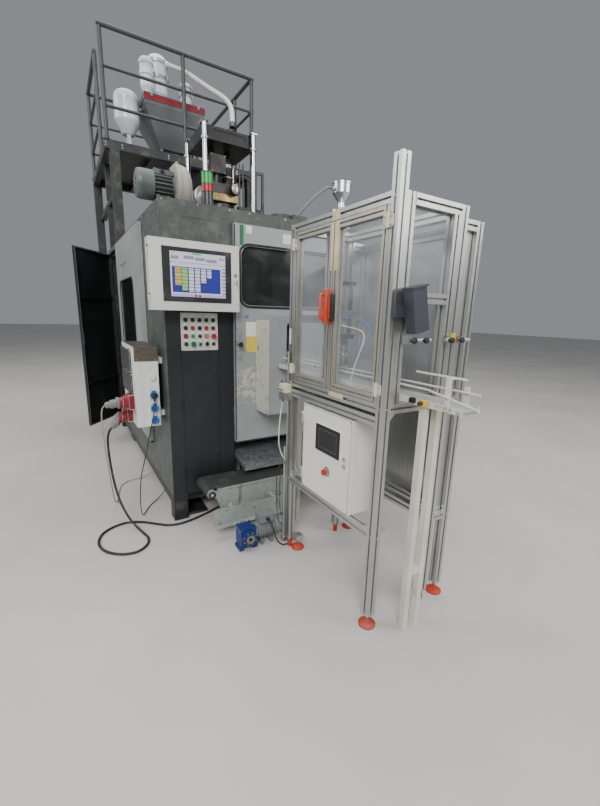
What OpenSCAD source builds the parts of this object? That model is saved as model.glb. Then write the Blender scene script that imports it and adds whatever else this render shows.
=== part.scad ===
// Extrusion blow moulding machine with leak-test station, conveyors and service platform.
// The origin is on the floor, at the centre of the four anchor holes; the operator stands at -Y.

/* [Cabinet] */
// Width of the cabinet, side to side
cab_w = 1800; // [1700:10:2000]
// Distance from the anchor centre to the front face
cab_front = 1150; // [1120:5:1250]
// Distance from the anchor centre to the rear face
cab_back = 1670; // [1660:5:1800]
// Height of the roof above the floor
cab_h = 2180; // [2160:5:2300]
// Side of the square frame posts
post_w = 100; // [80:1:120]
// Height of the frame beams
beam_h = 80; // [60:1:100]
// Thickness of the cabinet sheets
sheet = 4; // [3:0.5:5]
// Height of the open plinth under the panels
plinth_h = 198; // [180:1:230]
// How far the front plinth beam is set back
plinth_in = 60; // [30:1:100]
// Side of the foot plates
foot_w = 220; // [200:1:260]
// Thickness of the foot plates
foot_t = 20; // [12:1:30]
// Distance between the anchor holes along X
anchor_x = 1500; // [1450:10:1540]
// Distance between the anchor holes along Y
anchor_y = 2000; // [1960:10:2030]
// Diameter of the anchor holes
anchor_d = 18; // [14:1:24]

/* [Operator front] */
// Right edge of the dark front column, measured from the left side
column_w = 470; // [460:1:480]
// Width of the long centre door strip in the column
column_door_w = 263; // [250:1:265]
// Height of the column panels above the floor
column_top = 1900; // [1880:1:1915]
// Width of the terminal housing
hmi_w = 573; // [565:1:600]
// Height of the terminal housing
hmi_h = 420; // [380:1:430]
// Depth of the terminal housing behind its door
hmi_d = 62; // [50:1:80]
// Height of the terminal's lower edge
hmi_z = 1505; // [1500:1:1560]
// Width of the bezel in the terminal door
bezel_w = 440; // [420:1:446]
// Height of the bezel in the terminal door
bezel_h = 322; // [300:1:330]
// Width of the push-button plate
plate_w = 255; // [250:1:258]
// Height of the push-button plate
plate_h = 250; // [246:1:254]
// Distance between neighbouring buttons in a row
button_pitch = 47.3; // [46:0.1:49]
// Distance between neighbouring rows of buttons
button_row = 53.5; // [51:0.5:55]
// Diameter of a button head
button_d = 29; // [22:0.5:30]
// Diameter of the emergency stop's mushroom head
stop_d = 38; // [32:1:40]

/* [Guards] */
// Width of the sliding front guard
guard_w = 910; // [880:5:940]
// Lower edge of the front guard
guard_z0 = 551; // [540:1:580]
// Upper edge of the front guard
guard_z1 = 2088; // [2060:1:2100]
// Thickness of the front guard's folded sheet box
guard_t = 30; // [24:1:32]
// Travel of the front guard
guard_travel = 400; // [200:10:410]
// Width of the front guard's window
win_w = 800; // [600:5:840]
// Height of the front guard's window
win_h = 408; // [340:1:430]
// Corner radius of the windows
win_r = 70; // [40:1:90]
// Thickness of the window panes
pane_t = 6; // [4:0.5:8]
// Width of the raised casing on the front guard
casing_w = 560; // [480:5:600]
// Height of the raised casing
casing_h = 703; // [690:1:715]
// Depth of the raised casing
casing_d = 200; // [180:5:205]
// Wall of the raised casing
casing_wall = 4; // [3:0.5:6]
// Width of the bottle exit slot in the casing
slot_w = 112; // [100:1:120]
// Height of the bottle exit slot in the casing
slot_h = 299; // [280:1:305]
// Length of the left side guard
side_len = 1305; // [1250:1:1320]
// Thickness of the left side guard
side_t = 28; // [20:1:30]
// Width of the rear compartment door
rear_w = 650; // [600:1:655]
// Thickness of the rear compartment door
rear_t = 25; // [18:1:30]
// How far the rear door stands open, in degrees
rear_open = 38; // [20:1:60]

/* [Clamp and extrusion] */
// Height of the clamp bed
bed_z = 1150; // [1140:1:1160]
// Half the distance between the carriage rails
rail_x = 420; // [410:1:440]
// Width of a carriage rail
rail_w = 30; // [24:1:36]
// Travel of the clamp carriage towards the front
carriage_travel = 450; // [400:5:460]
// Opening travel of each mould half
mould_travel = 150; // [100:5:160]
// Thickness of one mould half
mould_t = 90; // [80:1:95]
// Height of the mould
mould_h = 400; // [360:1:410]
// Diameter of the bottle cavity
bottle_d = 96; // [70:1:104]
// Diameter of the neck bore
neck_d = 34; // [30:1:40]
// Diameter of the tie bars
tie_d = 40; // [30:1:44]
// Diameter of the blow pin
pin_d = 22; // [16:1:24]
// Stroke of the blow pin
pin_stroke = 90; // [60:1:100]
// Height of the die lips above the floor
die_z = 1765; // [1760:1:1790]
// Diameter of the extruder barrel cover
barrel_d = 200; // [160:1:220]
// Height of the extruder's axis above the roof
barrel_up = 460; // [440:1:480]
// Diameter of the chrome lift columns
lift_d = 44; // [36:1:50]
// Width of the head bridge
bridge_w = 494; // [480:2:500]
// Depth of the head bridge
bridge_d = 468; // [460:2:480]
// Height of the head bridge's underside above the roof
bridge_up = 810; // [780:5:820]
// Height of the head bridge box
bridge_h = 110; // [100:1:125]

/* [Service platform] */
// Top of the platform deck above the roof
deck_up = 950; // [940:5:980]
// Thickness of the deck frame
deck_t = 80; // [60:1:100]
// Distance from the near deck edge to the far one
deck_d = 1490; // [1450:10:1600]
// Width of the deck
deck_w = 1600; // [1560:5:1650]
// Side of the platform legs
leg_w = 90; // [70:1:100]
// Height of the handrail above the deck
rail_h = 960; // [930:5:1050]
// Outer diameter of the handrail tubes
rail_d = 42; // [34:1:48]
// Width of the hopper's top
hop_w = 640; // [600:5:660]
// Height of the hopper's taper
hop_h = 450; // [420:5:470]
// Size of the hopper's lower end
hop_neck = 310; // [280:5:330]

/* [Leak-test station] */
// Side of the slotted aluminium profile
prof = 45; // [40:1:48]
// Height of the station's frame
test_h = 1980; // [1950:5:2000]
// Width of the test chamber frame
test_w = 422; // [420:1:450]
// Depth of the test chamber frame
test_d = 820; // [800:5:860]
// Width of the narrow side bay
bay_w = 115; // [105:1:125]
// Top of the frame's middle rails
mid_z = 1130; // [1120:1:1135]
// Section of the door frames
stile = 35; // [30:1:38]
// Thickness of the clear panes
clear_t = 5; // [4:0.5:6]
// Width of the control box along the station's side
box_w = 438; // [400:1:460]
// Height of the control box
box_h = 497; // [460:1:500]
// Depth of the control box
box_d = 200; // [160:1:210]
// Height of the level feet
level_h = 60; // [50:1:70]
// Diameter of the level feet
level_d = 85; // [70:1:95]

/* [Conveyors] */
// Width of the bottle outfeed conveyor over its side plates
out_w = 110; // [104:1:116]
// Top of the outfeed belt
out_z = 1165; // [1163:1:1175]
// Width of the scrap conveyor over its side plates
scrap_w = 250; // [235:1:258]
// Length of the scrap conveyor
scrap_len = 1435; // [1400:5:1460]
// Top of the scrap belt
scrap_z = 330; // [322:1:336]
// Diameter of the conveyor end rollers
roller_d = 64; // [58:1:66]
// Height of the worm gearbox
gear_s = 128; // [120:1:132]
// Diameter of the gearmotor
motor_d = 120; // [110:1:126]

/* [Hidden] */
$fn = 48;

gap = 0.3;          // seat clearance between pieces that only lie against each other
weld = 0.2;         // seam between the tubes of one welded frame
run = 0.05;         // radial running clearance
proud = 2;          // clearance between a sliding guard and what it slides past

xl = -cab_w/2;
xr = cab_w/2;
yf = -cab_front;
yb = cab_back;
roof_t = 6;
barrel_z = cab_h + barrel_up;
bridge_z = cab_h + bridge_up;
deck_z = cab_h + deck_up;
beam_top = cab_h - roof_t;
beam_z = beam_top - beam_h;
strip_z = guard_z1 + 4;
col_x = xl + column_w;
door_x0 = xl + 97;
mid_post_y = 800;
side_y0 = -545;
comp_y0 = mid_post_y + post_w + 5;
hinge_y = yb - sheet - post_w - 6;
comp_x = -380;

guard_x0 = col_x + 2;
guard_y1 = yf - proud;
guard_y0 = guard_y1 - guard_t;
win_x0 = guard_x0 + 43;
win_z0 = guard_z0 + 997;
casing_x0 = guard_x0 + 163;
casing_z0 = guard_z0 + 236;
slot_x0 = -120;
slot_z0 = out_z - 18;

hmi_x0 = -1002;
hmi_back = guard_y0 - 4;
hmi_front = hmi_back - hmi_d;
hmi_lid = 20;
hmi_wall = 3;
bezel_x = hmi_x0 + 76;
bezel_z = hmi_z + 54;
plate_x0 = door_x0 + 3;
plate_z0 = hmi_z - 13 - plate_h;
plate_t = 3;
grid_x = plate_x0 + plate_w/2;
grid_z = plate_z0 + plate_h/2;

head_x = -25;
head_y = 150;
block_z = barrel_z - 115;
block_top = block_z + 153;
press_y = head_y - carriage_travel;
ext_x = head_x - 85;
hop_x = ext_x - 70;
hop_z = deck_z + 150;
hop_y = 1350;
deck_y0 = 850;

tx0 = -335;
tx1 = tx0 + test_w;
ty1 = -1790;
ty0 = ty1 - test_d;
bay_x = tx1 + bay_w;
lane_x = -135;

module box(lo, hi) { translate(lo) cube(hi - lo); }
module rod_x(p, d, l) { translate(p) rotate([0, 90, 0]) cylinder(d = d, h = l); }
module rod_y(p, d, l) { translate(p) rotate([-90, 0, 0]) cylinder(d = d, h = l); }
module rod_z(p, d, l) { translate(p) cylinder(d = d, h = l); }
// Rod from a to b
module rod_to(a, b, d) {
  v = b - a;
  translate(a) rotate([0, acos(v[2]/norm(v)), atan2(v[1], v[0])]) cylinder(d = d, h = norm(v));
}

// Rectangle w by h with true round corners, its lower left corner at the origin
module round_rect(w, h, r) {
  translate([r, 0]) square([w - 2*r, h]);
  translate([0, r]) square([w, h - 2*r]);
  for (x = [r, w - r], y = [r, h - r]) translate([x, y]) circle(r);
}
// Rounded plate facing -Y: its back is at y, and it is t thick
module plate_y(x, y, z, w, h, t, r) {
  translate([x, y, z]) rotate([90, 0, 0]) linear_extrude(t) round_rect(w, h, r);
}
// Rounded plate facing -X: its back is at x, length w runs along +Y
module plate_x(x, y, z, w, h, t, r) {
  translate([x - t, y, z]) rotate([90, 0, 90]) linear_extrude(t) round_rect(w, h, r);
}
// Slotted square profile of side s, centred on the origin
function slot_side(s) = [[s/2, s/2], [s*0.11, s/2], [s*0.11, s*0.4], [s*0.18, s*0.4],
  [s*0.18, s*0.24], [-s*0.18, s*0.24], [-s*0.18, s*0.4], [-s*0.11, s*0.4], [-s*0.11, s/2]];
function turned(p, k) = k == 0 ? p : turned([-p[1], p[0]], k - 1);
module slotted(s) {
  polygon([for (k = [0 : 3]) for (p = slot_side(s)) turned(p, k)]);
}
// Slotted bars: p is the low corner of the bar's box, s its side, l its length
module bar_x(p, l, s = prof) {
  translate(p + [0, s/2, s/2]) rotate([90, 0, 90]) linear_extrude(l) slotted(s);
}
module bar_y(p, l, s = prof) {
  translate(p + [s/2, l, s/2]) rotate([90, 0, 0]) linear_extrude(l) slotted(s);
}
module bar_z(p, l, s = prof) {
  translate(p + [s/2, s/2, 0]) linear_extrude(l) slotted(s);
}

// Tube swept along a route: unit tangents, then rings of points square to them
function unit(v) = v/norm(v);
function tangent(r, i) = unit(r[min(i + 1, len(r) - 1)] - r[max(i - 1, 0)]);
function side_of(t) = abs(t[2]) > 0.9 ? unit(cross([1, 0, 0], t)) : unit(cross([0, 0, 1], t));
// Each ring keeps the turn of the one before it, so that the tube does not twist
function carried(u, t) = unit(u - t*(u*t));
function frames(r, i, u) = i == len(r) ? [] :
  let (t = tangent(r, i), n = i == 0 ? side_of(t) : carried(u, t))
  concat([[n, cross(t, n)]], frames(r, i + 1, n));
module tube_on(route, d, sides) {
  f = frames(route, 0, [0, 0, 0]);
  n = len(route);
  points = [for (i = [0 : n - 1]) for (k = [0 : sides - 1])
    route[i] + f[i][0]*cos(360*k/sides)*d/2 + f[i][1]*sin(360*k/sides)*d/2];
  faces = concat(
    [[for (k = [0 : sides - 1]) k]],
    [for (i = [0 : n - 2]) for (k = [0 : sides - 1])
      [i*sides + k, (i + 1)*sides + k, (i + 1)*sides + (k + 1)%sides, i*sides + (k + 1)%sides]],
    [[for (k = [sides - 1 : -1 : 0]) (n - 1)*sides + k]]);
  polyhedron(points, faces, 4);
}
// Smooth route through hand-chosen points: m steps to each span
function spline(a, b, c, d, t) = 0.5*(2*b + (c - a)*t + (2*a - 5*b + 4*c - d)*t*t
  + (3*b - a - 3*c + d)*t*t*t);
function smooth(p, m) = concat([for (i = [0 : len(p) - 2]) for (k = [0 : m - 1])
  spline(p[max(i - 1, 0)], p[i], p[i + 1], p[min(i + 2, len(p) - 1)], k/m)], [p[len(p) - 1]]);

post_ys = [yf + sheet, mid_post_y, yb - sheet - post_w];
foot_ys = [-anchor_y/2, anchor_y/2];

module foot_plate(x, y) {
  difference() {
    box([x - foot_w/2, y - foot_w/2, 0], [x + foot_w/2, y + foot_w/2, foot_t]);
    for (px = [xl + sheet, xr - sheet - post_w])
      box([px - weld, post_ys[0] - weld, -1], [px + post_w + weld, post_ys[0] + post_w + weld, foot_t + 1]);
    translate([x, y, -1]) cylinder(d = anchor_d, h = foot_t + 2);
  }
}

module base_frame() color([0.1, 0.11, 0.12]) {
  post_x = [xl + sheet, xr - sheet - post_w];
  for (sx = [-1, 1], y = foot_ys) foot_plate(sx*anchor_x/2, y);
  // Front posts stand to the floor, the others on the plinth's side beams
  for (x = post_x, y = post_ys)
    box([x, y, y == post_ys[0] ? 0 : plinth_h + weld], [x + post_w, y + post_w, beam_z - weld]);
  // Side beams are welded to the front posts and rest on short legs over the rear foot plates
  for (x = post_x) {
    box([x, yf + sheet + post_w + weld, plinth_h - beam_h], [x + post_w, yb - sheet, plinth_h]);
    box([x, yb - sheet - post_w, 0], [x + post_w, yb - sheet, plinth_h - beam_h - weld]);
    difference() {
      box([x, yf + sheet, beam_z], [x + post_w, yb - sheet, beam_top]);
      // The rear door closes into the beam's outer side
      box([xl, comp_y0 - 1, beam_z - 1], [xl + rear_t + 3, hinge_y + 4, rear_z1 + 2]);
    }
  }
  for (sx = [-1, 1]) {
    leg_x = sx*(anchor_x/2 + foot_w/2 - 30);
    y = foot_ys[1] - foot_w/2;
    box([leg_x - 30, y, foot_t + weld], [leg_x + 30, y + 70, plinth_h - beam_h - weld]);
  }
  x0 = post_x[0] + post_w + weld;
  x1 = post_x[1] - weld;
  box([x0, yf + plinth_in, plinth_h - beam_h], [x1, yf + plinth_in + beam_h, plinth_h]);
  box([x0, yb - sheet - beam_h, plinth_h - beam_h], [x1, yb - sheet, plinth_h]);
  for (y = [press_y - 320, head_y + 180]) box([x0, y, plinth_h - beam_h], [x1, y + beam_h, plinth_h]);
  for (y = [yf + sheet, press_y - beam_h/2, mid_post_y, yb - sheet - beam_h])
    box([x0, y, beam_z], [x1, y + beam_h, beam_top]);
  // Runner under the sliding front guard and its top lip
  box([guard_x0, guard_y0 + 6, guard_z0 - 14], [xr - 8, guard_y1 - 6, guard_z0 - gap]);
  for (x = [guard_x0 + 30, xr - 120])
    box([x, guard_y1 - 6 + weld, guard_z0 - 14], [x + 60, yf + sheet - weld, guard_z0 - gap]);
  // Runner under the side guard
  box([side_x0 + 4, side_y0, side_z0 - 14], [xl - weld, comp_y0 - 3, side_z0 - gap]);
}

// Pressed frame: a shallow groove round a rectangle, cut into a face that looks along -Y
module pressed_y(x, z, w, h, y, deep, wide) {
  difference() {
    box([x, y - 1, z], [x + w, y + deep, z + h]);
    box([x + wide, y - 2, z + wide], [x + w - wide, y + deep + 1, z + h - wide]);
  }
}

module cabinet_shell() color([0.27, 0.3, 0.29]) {
  deep = sheet/2;
  wide = 10;
  // Front fascia over the column, and the strip above the guard
  difference() {
    box([xl + sheet + weld, yf, column_top + 2], [col_x - weld, yf + sheet - weld, cab_h]);
    pressed_y(xl + 123, column_top + 12, 271, cab_h - column_top - 108, yf, deep, wide);
  }
  box([col_x, yf, strip_z], [xr - sheet - weld, yf + sheet - weld, cab_h]);
  // Fixed sheet right of the guard, and the dark sheet beside the scrap opening
  box([guard_x0 + guard_w + 2, yf, guard_z0 + 1], [xr - sheet - weld, yf + sheet - weld, strip_z - 2]);
  box([160, yf, plinth_h], [xr - sheet - weld, yf + sheet - weld, guard_z0 - 16]);
  // Left side: front sheet, sheet under and strip over the side guard, rear sheets
  difference() {
    box([xl, yf, plinth_h], [xl + sheet, side_y0 - 2, cab_h]);
    translate([xl, 0, 0]) rotate([0, 0, -90])
      pressed_y(588 + 60, cab_h - 140, 420, 80, -sheet + deep, deep + 1, wide);
  }
  box([xl, side_y0, plinth_h], [xl + sheet, comp_y0 - 3, 520]);
  box([xl, side_y0, guard_z1 + 20], [xl + sheet, comp_y0 - 3, cab_h]);
  box([xl, mid_post_y, 522], [xl + sheet, comp_y0 - 3, guard_z1 + 18]);
  box([xl, comp_y0 - 1, guard_z1 + 50], [xl + sheet, yb, cab_h]);
  box([xl, hinge_y + 9, plinth_h], [xl + sheet, yb, guard_z1 + 48]);
  // Fixed hinge knuckles under the rear door's own
  for (z = rear_hinge_z) {
    rod_z([xl - 6, hinge_y, z - 30 - gap], 12, 30);
    box([xl - 6, hinge_y + 2, z - 30 - gap], [xl - weld, hinge_y + 40, z - gap]);
  }
  // Right side and rear: three sheets each, with seams
  for (i = [0 : 2]) {
    y0 = yf + (yb - yf)*i/3;
    y1 = yf + (yb - yf)*(i + 1)/3;
    box([xr - sheet, y0 + 1, plinth_h], [xr, y1 - 1, cab_h]);
    x0 = xl + sheet + (cab_w - 2*sheet)*i/3;
    x1 = xl + sheet + (cab_w - 2*sheet)*(i + 1)/3;
    box([x0 + 1, yb - sheet + weld, plinth_h], [x1 - 1, yb, cab_h]);
  }
  // Rear compartment: inner walls and the mounting plate with its switchgear
  wall_x = comp_x;
  box([xl + sheet + post_w + weld, comp_y0 - sheet, plinth_h + weld], [wall_x, comp_y0, beam_z - weld]);
  box([wall_x - sheet, comp_y0 + weld, plinth_h + weld],
    [wall_x, yb - sheet - beam_h - weld, beam_z - weld]);
  box([wall_x - sheet - 30, comp_y0 + 40, 400], [wall_x - sheet - 26, yb - 160, 2000]);
  for (y = [comp_y0 + 50, yb - 180], z = [430, 1960])
    rod_x([wall_x - sheet - 26 + weld, y, z], 14, 26 - 2*weld);
  for (i = [0 : 3], k = [0 : 2])
    box([wall_x - sheet - 90 - 20*(i%2), comp_y0 + 70 + 150*k, 500 + 370*i],
      [wall_x - sheet - 30 - weld, comp_y0 + 190 + 150*k, 700 + 370*i]);
}

module front_column() color([0.07, 0.075, 0.085]) {
  t = sheet - weld;
  box([xl + sheet + weld, yf, plinth_h], [door_x0 - 1.5, yf + t, column_top]);
  box([door_x0 + column_door_w + 1.5, yf, plinth_h], [col_x, yf + t, column_top]);
  // Long centre door strip, folded round its edge
  difference() {
    box([door_x0, yf, plinth_h], [door_x0 + column_door_w, yf + t, column_top]);
    pressed_y(door_x0 + 6, plinth_h + 6, column_door_w - 12, plate_z0 - plinth_h - 20, yf, 1, 4);
  }
  // Return flange between the column and the guard opening
  box([col_x - sheet, yf + sheet, plinth_h + 2*weld], [col_x, yf + 140, beam_z - weld]);
}

roof_hole_x = [head_x - 190, head_x + 190];
roof_hole_y = [head_y - 190, head_y + 190];

module roof_plate() color([0.24, 0.26, 0.26]) {
  z0 = cab_h - roof_t + weld;
  x0 = xl + sheet + weld;
  x1 = xr - sheet - weld;
  y0 = yf + sheet;
  y1 = yb - sheet - weld;
  box([x0, y0, z0], [x1, roof_hole_y[0], cab_h]);
  box([x0, roof_hole_y[1], z0], [x1, y1, cab_h]);
  for (s = [[x0, roof_hole_x[0]], [roof_hole_x[1], x1]])
    box([s[0], roof_hole_y[0] + weld, z0], [s[1], roof_hole_y[1] - weld, cab_h]);
  // Low curb round the head opening, and the two small covers at the front edge
  for (x = [roof_hole_x[0] - 12, roof_hole_x[1] + 2])
    box([x, roof_hole_y[0] - 12, cab_h + weld], [x + 10, roof_hole_y[1] + 12, cab_h + 30]);
  for (y = [roof_hole_y[0] - 12, roof_hole_y[1] + 2])
    box([roof_hole_x[0], y, cab_h + weld], [roof_hole_x[1], y + 10, cab_h + 30]);
  rod_z([-10, yf + 90, cab_h + weld], 150, 30);
  box([70, yf + 40, cab_h + weld], [190, yf + 120, cab_h + 42]);
  rod_z([200, -888, cab_h + weld], 50, 12);
}

module hmi_housing() color([0.8, 0.8, 0.78]) {
  difference() {
    box([hmi_x0, hmi_front, hmi_z], [hmi_x0 + hmi_w, hmi_back, hmi_z + hmi_h]);
    box([hmi_x0 + hmi_wall, hmi_front - 1, hmi_z + hmi_wall],
      [hmi_x0 + hmi_w - hmi_wall, hmi_back - hmi_wall, hmi_z + hmi_h - hmi_wall]);
  }
  // Mounting neck to the column
  box([door_x0 - 60, hmi_back + weld, hmi_z + 60], [door_x0 + 200, yf - weld, hmi_z + hmi_h - 60]);
}

hmi_axis = [hmi_x0 - 7, hmi_front - gap - hmi_lid + 6];

module hmi_door() color([0.83, 0.83, 0.81]) {
  y1 = hmi_front - gap;
  y0 = y1 - hmi_lid;
  difference() {
    union() {
      box([hmi_x0 + 10, y0, hmi_z], [hmi_x0 + hmi_w, y1, hmi_z + hmi_h]);
      box([hmi_x0, y0 + 10, hmi_z], [hmi_x0 + 10, y1, hmi_z + hmi_h]);
      rod_z([hmi_x0 + 10, y0 + 10, hmi_z], 20, hmi_h);
    }
    box([bezel_x, y0 - 1, bezel_z], [bezel_x + bezel_w, y1 + 1, bezel_z + bezel_h]);
    box([hmi_x0 + 14, y0 + 3, hmi_z + 3], [hmi_x0 + hmi_w - 3, y1 + 1, bezel_z - 3]);
  }
  // Hinge knuckles on the left edge and the lock on the right
  for (z = [hmi_z + 60, hmi_z + hmi_h - 90]) {
    translate([hmi_axis[0], hmi_axis[1], z]) cylinder(d = 12, h = 30);
    box([hmi_axis[0], hmi_axis[1] + 1, z], [hmi_x0 - weld, y1, z + 30]);
  }
  rod_y([hmi_x0 + hmi_w - 28, y0 - 12, hmi_z + hmi_h/2 - 14], 22, 12 - weld);
  box([hmi_x0 + hmi_w - 32, y0 - 20, hmi_z + hmi_h/2 - 26],
    [hmi_x0 + hmi_w - 24, y0 - 12 - weld, hmi_z + hmi_h/2 - 2]);
}

module hmi_screen() color([0.09, 0.09, 0.1]) {
  y0 = hmi_front - gap - hmi_lid;
  difference() {
    box([bezel_x + gap, y0 - 3, bezel_z + gap],
      [bezel_x + bezel_w - gap, y0 + 14, bezel_z + bezel_h - gap]);
    box([bezel_x + 46, y0 - 4, bezel_z + 30], [bezel_x + bezel_w - 40, y0 - 1, bezel_z + bezel_h - 24]);
  }
}

// Button grid: row and column to a place on the plate; row 0 is the top one
function grid(row, col) = [grid_x + (col - 2)*button_pitch, yf - plate_t,
  grid_z + (1.5 - row)*button_row - 2];
stop_at = grid(2, 4);
start_at = grid(3, 1);
selector_at = grid(3, 3);
moving_buttons = [stop_at, start_at, selector_at];

module button_plate() color([0.8, 0.8, 0.79]) {
  difference() {
    plate_y(plate_x0, yf - weld, plate_z0, plate_w, plate_h, plate_t - weld, 6);
    for (p = moving_buttons) translate(p + [0, 5, 0]) rotate([90, 0, 0]) cylinder(d = 22, h = 20);
  }
  // Bezels of the three controls that move
  for (p = moving_buttons) difference() {
    translate(p - [0, weld, 0]) rotate([90, 0, 0]) cylinder(d = button_d, h = 4);
    translate(p + [0, 5, 0]) rotate([90, 0, 0]) cylinder(d = 22, h = 20);
  }
}

module push_buttons() color([0.08, 0.08, 0.09]) {
  for (row = [0 : 3], col = [0 : 4]) {
    p = grid(row, col);
    big = row == 2 && col == 0 ? 4 : 0;
    if (len([for (m = moving_buttons) if (norm(m - p) < 1) 1]) == 0)
      translate(p - [0, weld, 0]) rotate([90, 0, 0]) {
        cylinder(d = button_d + big, h = 5);
        translate([0, 0, 5]) cylinder(d1 = button_d - 7 + big, d2 = button_d - 9 + big, h = 7);
      }
  }
}

// Sprung button: stem in its bore, and a turned head
module plunger(p, head_d, head_h, head_y) {
  translate(p) rotate([90, 0, 0]) {
    translate([0, 0, 1.2]) cylinder(d = 22 - 2*run, h = head_y - 1.2);
    translate([0, 0, head_y]) cylinder(d1 = 22 - 2*run, d2 = head_d, h = 3);
    translate([0, 0, head_y + 3]) cylinder(d1 = head_d, d2 = head_d*0.8, h = head_h);
  }
}
button_stroke = 4;

module emergency_stop() color([0.72, 0.1, 0.08]) plunger(stop_at, stop_d, 12, 4.2 + button_stroke + 3);
module start_button() color([0.05, 0.33, 0.2]) plunger(start_at, stop_d, 9, 4.2 + button_stroke + 3);
module selector_switch() color([0.2, 0.2, 0.21]) {
  translate(selector_at) rotate([90, 0, 0]) {
    cylinder(d = 22 - 2*run, h = 6);
    translate([0, 0, 6]) cylinder(d = button_d - 3, h = 5);
    translate([-4, -11, 11]) cube([8, 30, 10]);
  }
}

// Casing outline seen from the front, with a large round corner at the upper left
module casing_outline(grow) {
  r = 60 - grow;
  translate([grow, grow]) {
    square([casing_w - 2*grow, casing_h - 2*grow - r]);
    translate([r, 0]) square([casing_w - 2*grow - r, casing_h - 2*grow]);
    translate([r, casing_h - 2*grow - r]) circle(r);
  }
}

// Bottle exit through the casing and the guard behind it
module exit_slot() plate_y(slot_x0, guard_y1 + 1, slot_z0, slot_w, slot_h, guard_t + casing_d + 3, 36);

module guard_door() color([0.62, 0.63, 0.63]) {
  difference() {
    box([guard_x0, guard_y0, guard_z0], [guard_x0 + guard_w, guard_y1, guard_z1]);
    plate_y(win_x0, guard_y1 + 1, win_z0, win_w, win_h, guard_t + 2, win_r);
    exit_slot();
    // Folded sheet box, open at the back
    box([guard_x0 + 3, guard_y0 + 3, guard_z0 + 3], [guard_x0 + guard_w - 3, guard_y1 + 1, slot_z0 - 30]);
  }
  // Raised casing: side walls, top and front, hollow behind
  difference() {
    translate([casing_x0, guard_y0 - weld, casing_z0]) rotate([90, 0, 0])
      linear_extrude(casing_d - weld) casing_outline(0);
    translate([casing_x0, guard_y0 + 1, casing_z0]) rotate([90, 0, 0])
      linear_extrude(casing_d - casing_wall + 1) casing_outline(casing_wall);
    exit_slot();
  }
  // Round grip
  rod_y([guard_x0 + 23, guard_y0 - 30, guard_z0 + 732], 18, 30 - weld);
  rod_y([guard_x0 + 23, guard_y0 - 48, guard_z0 + 732], 34, 18 - weld);
}

module guard_window() color([0.05, 0.06, 0.06, 0.6]) {
  lap = 12;
  plate_y(win_x0 + gap, guard_y0 + 14 + pane_t, win_z0 + gap, win_w - 2*gap, win_h - 2*gap, pane_t,
    win_r - gap);
  // Rubber seal standing a little proud of the door
  difference() {
    plate_y(win_x0 - lap, guard_y0 - weld, win_z0 - lap, win_w + 2*lap, win_h + 2*lap, 5, win_r + lap);
    plate_y(win_x0 + 10, guard_y0 + 1, win_z0 + 10, win_w - 20, win_h - 20, 8, win_r - 10);
  }
  difference() {
    plate_y(win_x0 + gap, guard_y0 + 14 - weld, win_z0 + gap, win_w - 2*gap, win_h - 2*gap, 14,
      win_r - gap);
    plate_y(win_x0 + 10, guard_y0 + 15, win_z0 + 10, win_w - 20, win_h - 20, 18, win_r - 10);
  }
}

side_x1 = xl - proud;
side_x0 = side_x1 - side_t;
side_z0 = 440;
side_win = [343, 766, 1235];
side_win_z = side_z0 + 95;

module side_guard() color([0.66, 0.68, 0.67]) {
  difference() {
    box([side_x0, side_y0, side_z0], [side_x1, side_y0 + side_len, guard_z1 + 50]);
    plate_x(side_x1 + 1, side_y0 + side_win[0], side_win_z, side_win[1], side_win[2], side_t + 2, win_r);
    box([side_x0 - 1, side_y0 + 645, side_win_z + side_win[2] + 22],
      [side_x0 + 6, side_y0 + 1045, side_win_z + side_win[2] + 145]);
  }
}

module side_window() color([0.05, 0.06, 0.06, 0.6])
  plate_x(side_x0 + 12, side_y0 + side_win[0] + gap, side_win_z + gap, side_win[1] - 2*gap,
    side_win[2] - 2*gap, pane_t, win_r - gap);

rear_z0 = plinth_h + 6;
rear_z1 = guard_z1 + 44;
rear_hinge_z = [rear_z0 + 120, rear_z1 - 220];

module rear_door() color([0.12, 0.125, 0.13]) {
  translate([xl - 6, hinge_y, 0]) rotate([0, 0, -rear_open]) translate([6, 0, 0]) {
    difference() {
      box([0, -rear_w, rear_z0], [rear_t, -2, rear_z1]);
      box([3, -rear_w + 22, rear_z0 + 22], [rear_t + 1, -24, rear_z1 - 22]);
    }
    // Stiffening ribs inside, lock and hinge knuckles
    for (z = [rear_z0 + 480, rear_z1 - 520])
      box([3 + weld, -rear_w + 22 + weld, z], [rear_t - 4, -24 - weld, z + 30]);
    box([rear_t + weld, -rear_w + 10, 1120], [rear_t + 12, -rear_w + 34, 1240]);
    for (z = rear_hinge_z) {
      rod_z([-6, 0, z], 12, 100);
      box([-6, -40, z], [-weld, -2, z + 100]);
    }
  }
}

// Carriage runs on two rails; the mould halves run on four tie bars
rail_top = bed_z + 30;
car_plate = rail_top + 25;
car_top = car_plate + 40;
end_x = 430;
end_t = 40;
tie_y = 175;
tie_z = [car_top + 100, car_top + 490];
mould_z = car_top + 85;
platen_t = 50;
rod_axis_z = mould_z + mould_h/2;

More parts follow.
